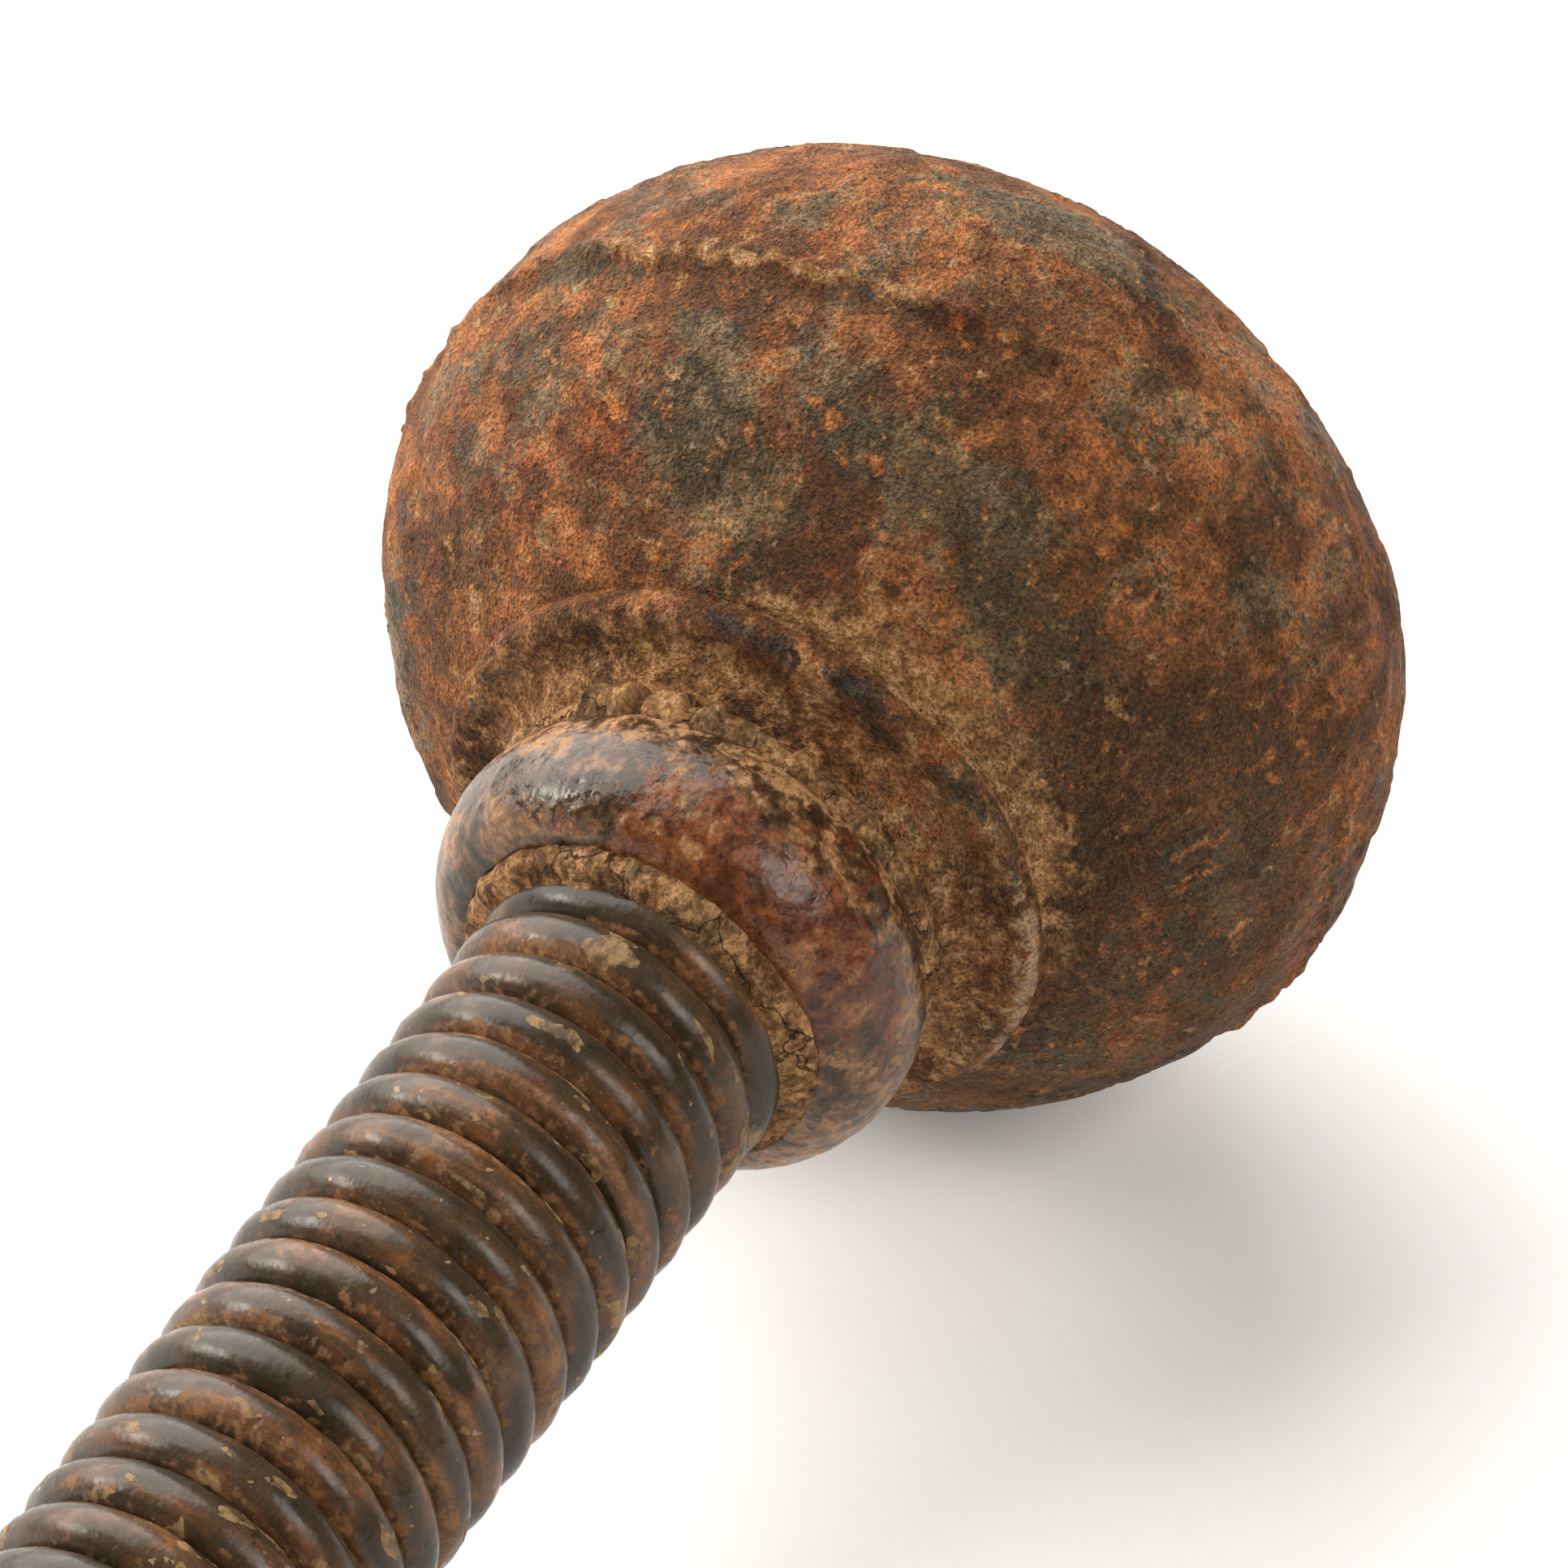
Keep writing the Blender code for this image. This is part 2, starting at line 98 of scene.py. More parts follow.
PLACE = {j["name"]: Vector(j["pos_m"]) for j in frame["joints"]}
BUTT = next(m for m in frame["record"]["mounts"] if m["name"] == "butt_face")
ALONG = -Vector(BUTT["axis"]).normalized()
LEVEL = Vector((0.0, 1.0, 0.0))
DOWN = LEVEL.cross(ALONG)
ACROSS = PLACE["bend_down_3"] - PLACE["bend_up_3"]
COIL_RADIUS = ACROSS.dot(DOWN) / 2 * 1000
PITCH = ACROSS.dot(ALONG) / (2 * TURNS_PER_LENGTH) * 1000
ZERO = PLACE["bend_down_3"] - DOWN * COIL_RADIUS / 1000 - ALONG * TOP_CUT / 1000

# From millimetres in the frame of the shaft, the ball or the ring to the row frame
SHAFT = Matrix([*zip(DOWN / 1000, LEVEL / 1000, ALONG / 1000, ZERO), (0, 0, 0, 1)])
LEAN_DIRECTION = Vector((math.cos(LEAN_AZIMUTH), math.sin(LEAN_AZIMUTH), 0))
LEAN_AXIS = Vector((0, 0, 1)).cross(LEAN_DIRECTION)
SEAT = (
    SHAFT
    @ Matrix.Translation(LEAN_DIRECTION * SEAT_OFFSET + Vector((0, 0, SEAT_HEIGHT)))
    @ Matrix.Rotation(HEAD_LEAN, 4, LEAN_AXIS)
)
RING = SHAFT @ Matrix.Translation(LEAN_DIRECTION * RING_OFFSET)

# ---- noise on points, in millimetres

# Four unlike directions and a large factor, which turn a cell's three whole numbers into four random ones
CELL_MIXES = ((12.99, 78.23, 37.72), (39.35, 11.14, 83.16), (73.16, 52.23, 9.15), (26.65, 61.87, 47.3))
CELL_SPREAD = 43758.5453


def fractal(points, scale, octaves, seed, gain=0.55):
    """Smooth noise of about -1 to 1 at each point; scale is in cycles per millimetre."""
    smooth = -math.log2(gain)
    shift = Vector((17.3 * seed, -9.1 * seed, 5.7 * seed))
    return np.array([noise.fractal(Vector(p) * scale + shift, smooth, 2.0, octaves) for p in points])


def cells(points, scale, seed):
    """Each point's distance to the nearest scattered spot, in cells, and that spot's number, 0 to 1."""
    place = points * scale + seed * 3.71
    base = np.floor(place)
    nearest = np.full(len(points), 9.0)
    number = np.zeros(len(points))
    for corner in np.ndindex(3, 3, 3):
        cell = base + np.array(corner) - 1
        waves = [np.sin(cell @ np.array(mix) + seed) for mix in CELL_MIXES]
        chance = [np.modf(np.abs(wave) * CELL_SPREAD)[0] for wave in waves]
        distance = np.linalg.norm(place - cell - np.stack(chance[:3], axis=1), axis=1)
        closer = distance < nearest
        nearest[closer] = distance[closer]
        number[closer] = chance[3][closer]
    return nearest, number


def pits(points, scale, share, width, seed):
    """Round dents, 1 deep at the middle, at a share of the scattered spots."""
    distance, number = cells(points, scale, seed)
    size = width * (0.5 + number / share / 2)
    return np.where(number < share, np.clip(1 - (distance / size) ** 2, 0, 1), 0)


def rise(values, low, high):
    """A smooth step from 0 at low to 1 at high."""
    t = np.clip((values - low) / (high - low), 0, 1)
    return t * t * (3 - 2 * t)


def peak(values, middle, width):
    """A smooth rise to 1 where the values are near middle."""
    return np.exp(-(((values - middle) / width) ** 2))


def radii(points):
    """The distance of each point from the axis."""
    return np.hypot(points[:, 0], points[:, 1])


def azimuths(points):
    """The azimuth of each point about the axis, in degrees from 0 to 360."""
    return np.degrees(np.arctan2(points[:, 1], points[:, 0])) % 360


def turn_from(azimuth, bearing):
    """How far each azimuth lies from a bearing, in degrees from 0 to 180."""
    return np.abs((azimuth - bearing + 180) % 360 - 180)


def toward(azimuth, bearing, width):
    """1 about a bearing, falling to 0 at width degrees from it."""
    return rise(-turn_from(azimuth, bearing), -width, -width * 0.3)


# ---- meshes


def make_piece(name, slot, points, faces, matrix, nodes=(), body=None, layers=None, rest=None, sharp=None):
    """A mesh object in the row frame, which stands for CAD nodes and rides on a body.

    Layers are its attributes by name. The attribute "rest" is where each vertex is drawn, unless it is given.
    Edges sharper than sharp degrees aren't smoothed.
    """
    mesh = bpy.data.meshes.new(name)
    place = np.array(matrix)
    world = points @ place[:3, :3].T + place[:3, 3]
    mesh.from_pydata(world.tolist(), [], faces)
    mesh.update()
    mesh.shade_smooth()
    if sharp:
        mesh.set_sharp_from_angle(angle=math.radians(sharp))
    kept = mesh.attributes.new("rest", "FLOAT_VECTOR", "POINT")
    kept.data.foreach_set("vector", (points if rest is None else rest).astype(np.float32).ravel())
    for label, values in (layers or {}).items():
        layer = mesh.attributes.new(label, "FLOAT", "POINT")
        layer.data.foreach_set("value", np.asarray(values, np.float32))
    mesh.materials.append(MATERIALS[slot])
    piece = bpy.data.objects.new(name, mesh)
    bpy.context.scene.collection.objects.link(piece)
    if nodes:
        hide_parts(*nodes)
    if body:
        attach(piece, body)
    return piece


def bezier(start, pull, end, count):
    """Points on a quadratic curve from start to end."""
    t = np.linspace(0, 1, count + 1)[:, None]
    curve = (1 - t) ** 2 * np.array(start) + 2 * t * (1 - t) * np.array(pull) + t**2 * np.array(end)
    return list(map(tuple, curve))


def quarter_round(centre, wide, high, count):
    """Points round a quarter of an ellipse, from its side down to its foot, without the first."""
    angles = [-math.pi / 2 * i / count for i in range(1, count + 1)]
    return [(centre[0] + wide * math.cos(a), centre[1] + high * math.sin(a)) for a in angles]


def rounded(points, radius, steps):
    """The line with each of its inner corners rounded."""
    line = [points[0]]
    for before, corner, after in zip(points, points[1:], points[2:]):
        before, corner, after = (np.array(p, float) for p in (before, corner, after))
        back, on = before - corner, after - corner
        reach = min(radius, 0.45 * np.linalg.norm(back), 0.45 * np.linalg.norm(on))
        start = corner + back / np.linalg.norm(back) * reach
        end = corner + on / np.linalg.norm(on) * reach
        line += bezier(start, corner, end, steps)
    return line + [points[-1]]


def resampled(points, spacing):
    """The line with points added, so that no step is longer than spacing."""
    line = [points[0]]
    for start, end in zip(points, points[1:]):
        start, end = np.array(start, float), np.array(end, float)
        count = max(1, math.ceil(np.linalg.norm(end - start) / spacing))
        line += [tuple(start + (end - start) * i / count) for i in range(1, count + 1)]
    return line


def lathe(profile, around):
    """Points, outward directions, faces and profile places of a turned shape.

    The profile runs down the outside. One that starts or ends on the axis is closed there by a fan, and any
    other is closed into a loop.
    """
    line = np.array(profile, float)
    first_pole, last_pole = line[0, 0] < 1e-6, line[-1, 0] < 1e-6
    closed = not (first_pole or last_pole)
    before = np.roll(line, 1, axis=0) if closed else np.vstack([line[:1], line[:-1]])
    after = np.roll(line, -1, axis=0) if closed else np.vstack([line[1:], line[-1:]])
    run = after - before
    run /= np.maximum(np.linalg.norm(run, axis=1), 1e-9)[:, None]
    out = np.stack([-run[:, 1], run[:, 0]], axis=1)
    angle = np.arange(around) * 2 * math.pi / around
    round_x, round_y = np.cos(angle), np.sin(angle)
    rows = range(int(first_pole), len(line) - int(last_pole))
    points, normals, index = [], [], []
    for i in rows:
        for (across, up), stack in ((line[i], points), (out[i], normals)):
            stack.append(np.stack([across * round_x, across * round_y, np.full(around, up)], axis=1))
        index.append(np.full(around, i))
    points, normals, index = np.vstack(points), np.vstack(normals), np.concatenate(index)
    faces = []
    count = len(rows)
    for i in range(count if closed else count - 1):
        low, high = i * around, (i + 1) % count * around
        for j in range(around):
            k = (j + 1) % around
            faces.append((low + j, high + j, high + k, low + k))
    low = (count - 1) * around
    if first_pole:
        faces += [(len(points), j, (j + 1) % around) for j in range(around)]
        points = np.vstack([points, [0, 0, line[0, 1]]])
        normals = np.vstack([normals, [0, 0, 1]])
        index = np.append(index, 0)
    if last_pole:
        faces += [(len(points), low + (j + 1) % around, low + j) for j in range(around)]
        points = np.vstack([points, [0, 0, line[-1, 1]]])
        normals = np.vstack([normals, [0, 0, -1]])
        index = np.append(index, len(line) - 1)
    return points, normals, faces, index


# ---- materials


def tint(*screen):
    """A colour for a shader from red, green and blue of 0 to 255 as a screen shows them."""
    shares = (c / 255 for c in screen)
    return tuple(c / 12.92 if c <= 0.04045 else ((c + 0.055) / 1.055) ** 2.4 for c in shares)


class Shader:
    """Builds one material's nodes, over distances in millimetres of the "rest" attribute or of the object.

    The colours of ramps, shades and layers are given as a screen shows them, from 0 to 255. A noise lies
    about 0.5, mostly within 0.15 of it, so a mask that rises at 0.5 covers half of a surface and one that
    rises at 0.6 a little of it. The attribute colour is the surface's colour with the layers laid so far.
    """

    def __init__(self, name, on_cad_mesh=False):
        self.material = bpy.data.materials.new(name)
        self.material.use_nodes = True
        self.nodes = self.material.node_tree.nodes
        self.links = self.material.node_tree.links
        self.surface = self.nodes["Principled BSDF"]
        self.colour = None
        if on_cad_mesh:
            self.place = self.scaled(self.make("ShaderNodeTexCoord").outputs["Object"], 1000.0)
        else:
            self.place = self.make("ShaderNodeAttribute", attribute_name="rest").outputs["Vector"]

    def make(self, kind, inputs=None, **settings):
        """A new node; an input is a value or another node's output."""
        node = self.nodes.new(kind)
        for key, value in settings.items():
            setattr(node, key, value)
        for key, value in (inputs or {}).items():
            self.put(node.inputs[key], value)
        return node

    def put(self, socket, value):
        if isinstance(value, bpy.types.NodeSocket):
            self.links.new(value, socket)
        elif isinstance(value, tuple) and len(value) == 3 and len(socket.default_value) == 4:
            socket.default_value = (*value, 1.0)
        else:
            socket.default_value = value

    def attribute(self, name):
        return self.make("ShaderNodeAttribute", attribute_name=name).outputs["Fac"]

    def vector(self, operation, first, second):
        return self.make("ShaderNodeVectorMath", {0: first, 1: second}, operation=operation).outputs[0]

    def scaled(self, vector, factor):
        return self.make("ShaderNodeVectorMath", {0: vector, "Scale": factor}, operation="SCALE").outputs[0]

    def stretched(self, x, y, z):
        """The place for a noise with this many cycles per millimetre in each direction."""
        return self.vector("MULTIPLY", self.place, (x, y, z))

    def noise(self, scale, detail, rough, bend=0.0, place=None, seed=0):
        """Noise of so many cycles per millimetre; a seed moves it far off from others."""
        place = place or self.place
        if seed:
            place = self.vector("ADD", place, (31.7 * seed, -17.3 * seed, 23.9 * seed))
        inputs = {"Vector": place, "Scale": scale, "Detail": detail, "Roughness": rough, "Distortion": bend}
        return self.make("ShaderNodeTexNoise", inputs).outputs["Fac"]

    def cracks(self, scale, wander_scale, wander):
        """The distance to the nearest edge of many plates, whose edges wander by millimetres."""
        drift = self.make("ShaderNodeTexNoise", {"Vector": self.place, "Scale": wander_scale, "Detail": 3.0})
        centred = self.vector("SUBTRACT", drift.outputs["Color"], (0.5, 0.5, 0.5))
        inputs = {"Vector": self.vector("ADD", self.scaled(centred, wander), self.place), "Scale": scale}
        return self.make("ShaderNodeTexVoronoi", inputs, feature="DISTANCE_TO_EDGE").outputs["Distance"]

    def math(self, operation, a, b):
        return self.make("ShaderNodeMath", {0: a, 1: b}, operation=operation).outputs[0]

    def total(self, *terms):
        """The sum of (value, weight) pairs, where a value may be an attribute's name."""
        result = None
        for value, weight in terms:
            value = self.attribute(value) if isinstance(value, str) else value
            part = self.math("MULTIPLY", value, weight)
            result = part if result is None else self.math("ADD", result, part)
        return result

    def step(self, value, low, high, floor=0.0, ceiling=1.0):
        """A smooth step of value from floor at low to ceiling at high."""
        inputs = {"Value": value, "From Min": low, "From Max": high, "To Min": floor, "To Max": ceiling}
        return self.make("ShaderNodeMapRange", inputs, interpolation_type="SMOOTHSTEP").outputs["Result"]

    def mask(self, low, high, *terms):
        """A smooth step from 0 to 1 of the sum of (value, weight) pairs."""
        return self.step(self.total(*terms), low, high)

    def ramp(self, value, *stops):
        """A colour that runs through (place, colour) stops."""
        node = self.make("ShaderNodeValToRGB", {0: value})
        points = node.color_ramp.elements
        while len(points) < len(stops):
            points.new(0.5)
        for point, (place, colour) in zip(points, stops):
            point.position = place
            point.color = (*tint(*colour), 1.0)
        return node.outputs[0]

    def shades(self, value, reach, *colours):
        """Evenly spaced colours, as a noise goes from reach below 0.5 to reach above it."""
        stops = [(i / (len(colours) - 1), colour) for i, colour in enumerate(colours)]
        return self.ramp(self.step(value, 0.5 - reach, 0.5 + reach), *stops)

    def over(self, layer, strength, mask):
        """Lay a layer over the colour so far where the mask is, at most as opaque as strength."""
        layer = tint(*layer) if isinstance(layer, tuple) else layer
        inputs = {0: self.math("MULTIPLY", mask, strength), 6: self.colour, 7: layer}
        self.colour = self.make("ShaderNodeMix", inputs, data_type="RGBA").outputs[2]

    def grain(self, grit, reach, darkest, lightest):
        """Make the colour so far darker and lighter by a fine noise."""
        shade = self.step(grit, 0.5 - reach, 0.5 + reach, darkest, lightest)
        self.colour = self.scaled(self.colour, shade)

    def bump(self, height, depth, under=None):
        """A normal from a height that reaches depth millimetres, on top of the one under it."""
        inputs = {"Distance": depth / 1000, "Height": height}
        return self.make("ShaderNodeBump", {**inputs, "Normal": under} if under else inputs).outputs[0]

    def waves(self, depth, seed):
        """A normal with shallow waves of two sizes, smooth enough for a glossy surface."""
        long, short = (self.noise(scale, 1.0, 0.5, seed=seed + i) for i, scale in enumerate((0.4, 1.5)))
        return self.bump(self.total((long, 0.65), (short, 0.35)), depth)

    def finish(self, roughness, normal=None, **values):
        values = {"Base Color": self.colour, "Roughness": roughness, **values}
        if normal:
            values["Normal"] = normal
        for key, value in values.items():
            self.put(self.surface.inputs[key.replace("_", " ")], value)
        return self.material


def rusted_iron():
    """Thick rust: red-brown crust, orange blooms, olive-grey scale, pits, scuffs and dust, with painted shade and
    a painted highlight.
    """
    s = Shader("rusted_iron_crust")
    broad = s.noise(0.07, 3.0, 0.55, seed=1)
    middle = s.noise(0.17, 4.0, 0.55, 0.7, seed=2)
    small = s.noise(0.75, 3.0, 0.55, 0.15, seed=3)
    grit = s.noise(4.2, 2.0, 0.6, seed=4)
    cloud = s.noise(0.20, 4.0, 0.58, 1.0, seed=5)
    fleck = s.noise(1.5, 2.0, 0.55, 0.1, seed=6)
    tone = s.mask(0.40, 0.60, (broad, 0.3), (middle, 0.4), (small, 0.2), (fleck, 0.1))
    crust = ((0.0, (78, 52, 33)), (0.3, (107, 68, 41)), (0.55, (133, 84, 50)), (0.8, (160, 98, 57)))
    s.colour = s.ramp(tone, *crust, (1.0, (184, 124, 78)))
    red = s.mask(0.51, 0.60, ("red", 0.16), (cloud, 0.6), (fleck, 0.4))
    s.over(s.shades(small, 0.14, (82, 42, 25), (118, 62, 35), (154, 84, 46)), 0.8, red)
    bare = s.mask(0.495, 0.565, ("grey", 0.15), (broad, 0.3), (cloud, 0.4), (small, 0.3))
    bare_tone = s.mask(0.39, 0.61, (fleck, 0.4), (middle, 0.6))
    olive = ((0.0, (58, 50, 34)), (0.45, (86, 74, 52)), (0.75, (104, 89, 64)), (1.0, (126, 107, 78)))
    s.over(s.ramp(bare_tone, *olive), 0.85, bare)
    # The dark attribute holds dark rust, and painted shade: shadows under the seam and the lip, shade on the lower
    # side
    dark = s.mask(0.57, 0.65, ("dark", 0.15), (middle, 0.6), (fleck, 0.4))
    s.over(s.shades(fleck, 0.14, (42, 33, 24), (72, 58, 41)), 0.7, dark)
    bloom = s.mask(0.56, 0.68, ("orange", 0.11), (small, 0.5), (cloud, 0.5))
    s.over(s.shades(fleck, 0.14, (154, 82, 38), (198, 118, 56)), 0.75, bloom)
    s.over((184, 110, 58), 0.6, s.step(s.noise(2.0, 2.0, 0.55, seed=7), 0.66, 0.74))
    ochre = s.mask(0.62, 0.72, ("ochre", 0.18), (small, 1.0))
    s.over((168, 130, 78), 0.45, ochre)
    s.over((44, 31, 22), 0.7, s.step(s.noise(2.0, 2.0, 0.6, seed=8), 0.63, 0.71))
    dust = s.mask(0.59, 0.77, ("dust", 0.35), (middle, 0.5), (small, 0.35), (fleck, 0.15))
    dust_tone = s.total((small, 0.5), (fleck, 0.5))
    s.over(s.shades(dust_tone, 0.14, (120, 82, 48), (150, 108, 67), (184, 141, 97)), 0.88, dust)
    lip = s.mask(0.60, 0.68, ("edge", 0.26), (cloud, 0.5), (fleck, 0.5))
    s.over(s.shades(fleck, 0.12, (36, 31, 28), (68, 60, 53)), 0.85, lip)
    # The pale attribute holds real scuffs and a painted highlight on the lip's lower edge
    scuff_and_lip_highlight = s.mask(0.62, 0.74, ("pale", 0.18), (fleck, 0.4), (small, 0.6))
    s.over((170, 146, 116), 0.55, scuff_and_lip_highlight)
    s.over((46, 31, 21), 0.5, s.attribute("pit"))
    s.grain(grit, 0.16, 0.62, 1.38)
    roughness = s.total((s.step(small, 0.4, 0.6, 0.62, 0.84), 1.0), (bare, -0.2))
    lumps = s.bump(s.total((small, 0.5), (s.noise(1.7, 2.0, 0.6, seed=9), 0.5)), 0.55)
    return s.finish(roughness, s.bump(grit, 0.40, lumps), Specular_IOR_Level=0.12)


def worn_paint():
    """The ring: glossy brown paint worn through to dark metal, with tan dirt dried on it."""
    s = Shader("worn_red_paint")
    broad = s.noise(0.16, 3.0, 0.55, seed=1)
    middle = s.noise(0.35, 4.0, 0.55, 0.7, seed=2)
    small = s.noise(1.4, 3.0, 0.55, 0.4, seed=3)
    grit = s.noise(5.0, 2.0, 0.6, seed=4)
    cloud = s.noise(0.42, 5.0, 0.6, 1.0, seed=5)
    tone = s.mask(0.38, 0.62, (middle, 0.6), (small, 0.4))
    metal = ((0.0, (48, 33, 21)), (0.35, (76, 52, 32)), (0.65, (104, 72, 44)), (1.0, (140, 100, 62)))
    s.colour = s.ramp(tone, *metal)
    paint = s.mask(0.60, 0.615, ("paint", 0.18), (broad, 0.3), (cloud, 0.7))
    paint_colour = s.ramp(tone, (0.0, (76, 40, 22)), (0.5, (102, 55, 30)), (1.0, (126, 76, 44)))
    s.over(paint_colour, 0.92, paint)
    steel = s.mask(0.585, 0.655, ("bare", 0.16), (cloud, 0.6), (small, 0.4))
    steel_colour = s.ramp(tone, (0.0, (48, 37, 26)), (0.5, (76, 59, 42)), (1.0, (112, 86, 60)))
    s.over(steel_colour, 0.85, steel)
    crust = s.mask(0.58, 0.66, ("crust", 0.14), (middle, 0.5), (small, 0.5))
    s.over(s.shades(small, 0.1, (118, 82, 50), (168, 126, 84)), 0.55, crust)
    dark = s.step(s.noise(0.7, 4.0, 0.58, 0.8, seed=6), 0.58, 0.66)
    s.over((44, 32, 24), 0.65, dark)
    web = s.step(s.cracks(0.22, 0.45, 3.0), 0.003, 0.010, 1.0, 0.0)
    crack = s.math("MULTIPLY", web, s.step(cloud, 0.52, 0.58))
    s.over((40, 26, 18), 0.7, crack)
    s.over((38, 27, 20), 0.7, s.step(s.noise(2.6, 2.0, 0.6, seed=7), 0.64, 0.71))
    s.grain(grit, 0.16, 0.78, 1.24)
    roughness = s.total((s.step(small, 0.4, 0.6, 0.24, 0.38), 1.0), (crust, 0.3), ("bare", -0.08))
    layers = s.total((paint, 0.4), (crack, -0.4), (crust, 0.35), (dark, -0.2))
    normal = s.bump(s.noise(4.0, 1.0, 0.5, seed=10), 0.016, s.bump(layers, 0.03, s.waves(0.17, 8)))
    return s.finish(roughness, normal, Specular_IOR_Level=0.36)


def dry_putty():
    """Old filler: tan-brown, dusty and crumbling, with a few cracks dark with dirt."""
    s = Shader("dry_cracked_putty")
    broad = s.noise(0.22, 3.0, 0.6, seed=1)
    middle = s.noise(0.7, 5.0, 0.6, 0.4, seed=2)
    small = s.noise(2.2, 4.0, 0.62, seed=3)
    grit = s.noise(6.5, 3.0, 0.65, seed=4)
    tone = s.mask(0.41, 0.59, (broad, 0.3), (middle, 0.35), (small, 0.35))
    tan = ((0.0, (82, 57, 36)), (0.4, (114, 82, 53)), (0.7, (138, 102, 67)), (1.0, (168, 128, 88)))
    s.colour = s.ramp(tone, *tan)
    stain = s.step(s.noise(0.36, 5.0, 0.62, 0.5, seed=5), 0.52, 0.60)
    s.over(s.shades(small, 0.1, (58, 45, 33), (106, 86, 62)), 0.65, stain)
    crack = s.step(s.cracks(0.17, 0.5, 4.0), 0.004, 0.018, 1.0, 0.0)
    s.over((36, 24, 16), 0.85, crack)
    s.over((56, 38, 25), 0.65, s.step(s.noise(2.6, 3.0, 0.6, seed=6), 0.60, 0.67))
    s.grain(grit, 0.14, 0.72, 1.28)
    height = s.total((small, 0.6), (grit, 0.25), (crack, -0.2))
    return s.finish(0.9, s.bump(height, 0.30), Specular_IOR_Level=0.1)


def spring_wire():
    """The wire: dark glossy steel stained brown, rust and dirt in the grooves, painted shade between turns, old
    paint flakes.
    """
    s = Shader("stained_spring_wire")
    middle = s.noise(0.25, 3.0, 0.5, 0.6, seed=1)
    small = s.noise(1.3, 3.0, 0.55, 0.3, seed=2)
    grit = s.noise(5.0, 2.0, 0.6, seed=3)
    parts = {0: s.total(("lengthwise", 0.11)), 1: s.attribute("about"), 2: s.attribute("turned")}
    run = s.make("ShaderNodeCombineXYZ", parts).outputs[0]
    along = s.noise(0.9, 3.0, 0.5, 0.2, run)
    streaks = s.noise(2.0, 3.0, 0.5, 0.3, run, seed=4)
    tone = s.mask(0.38, 0.62, (along, 0.45), (middle, 0.3), (streaks, 0.25))
    browns = ((0.0, (46, 37, 26)), (0.35, (61, 46, 31)), (0.6, (79, 55, 36)), (0.8, (100, 66, 40)))
    s.colour = s.ramp(tone, *browns, (1.0, (126, 84, 51)))
    steel = s.mask(0.53, 0.61, ("crown", 0.06), (streaks, 0.7), (small, 0.3))
    s.over((54, 46, 34), 0.7, steel)
    groove = s.mask(0.66, 0.75, ("side", 0.20), (small, 0.4), (along, 0.6))
    groove_tone = s.step(small, 0.38, 0.62)
    groove_colour = s.ramp(groove_tone, (0.0, (60, 40, 24)), (0.6, (96, 64, 38)), (1.0, (128, 88, 54)))
    s.over(groove_colour, 0.8, groove)
    # Painted shade: near-black where the wire's flanks and inner half face the gaps between turns
    s.over((26, 18, 12), 0.8, s.step(s.attribute("side"), 0.93, 1.0))
    flake = s.mask(0.62, 0.64, ("flake", 1.0), (s.step(small, 0.4, 0.6), 0.08))
    s.over(s.shades(small, 0.12, (78, 58, 34), (142, 112, 72)), 0.85, flake)
    chip = s.step(s.noise(1.05, 2.0, 0.55, seed=5), 0.72, 0.74)
    s.over((150, 118, 84), 0.8, chip)
    s.over((32, 25, 19), 0.6, s.step(s.noise(1.4, 2.0, 0.6, seed=6), 0.64, 0.72))
    s.grain(grit, 0.16, 0.86, 1.16)
    roughness = s.total((s.step(small, 0.4, 0.6, 0.25, 0.34), 1.0), (groove, 0.35), (flake, 0.25))
    layers = s.total((flake, 0.6), (chip, 0.6), (groove, 0.2))
    normal = s.bump(s.noise(4.0, 1.0, 0.5, seed=9), 0.010, s.bump(layers, 0.04, s.waves(0.08, 7)))
    return s.finish(roughness, normal, Specular_IOR_Level=0.30)


def oiled_wood():
    """Turned hardwood, dark with handling, with long grain, pores and dents."""
    s = Shader("oiled_turned_wood")
    figure = s.noise(1.0, 5.0, 0.6, 0.6, s.stretched(0.22, 0.22, 0.022))
    pores = s.noise(1.0, 3.0, 0.6, 0.1, s.stretched(2.2, 2.2, 0.10))
    fibre = s.noise(1.0, 4.0, 0.6, 0.2, s.stretched(5.0, 5.0, 0.16))
    wear = s.noise(0.07, 4.0, 0.6)
    grain = s.total((figure, 0.6), (fibre, 0.4))
    s.colour = s.ramp(grain, (0.34, (66, 38, 22)), (0.5, (104, 64, 38)), (0.66, (140, 92, 56)))
    late = s.step(s.math("FRACT", s.total((figure, 9.0)), 0.0), 0.55, 0.95)
    s.over((62, 34, 20), 0.35, late)
    pore = s.step(pores, 0.60, 0.68)
    s.over((36, 22, 14), 0.7, pore)
    s.over((40, 28, 20), 0.75, s.mask(0.62, 1.0, ("grime", 0.8), (wear, 0.8)))
    s.over((158, 112, 72), 0.5, s.mask(0.75, 1.05, ("edge", 0.8), (wear, 0.6)))
    roughness = s.total((s.step(wear, 0.35, 0.65, 0.36, 0.56), 1.0), (pore, 0.2))
    height = s.total((fibre, 0.3), (pore, -0.5), (late, 0.12))
    return s.finish(roughness, s.bump(height, 0.16), Specular_IOR_Level=0.45)


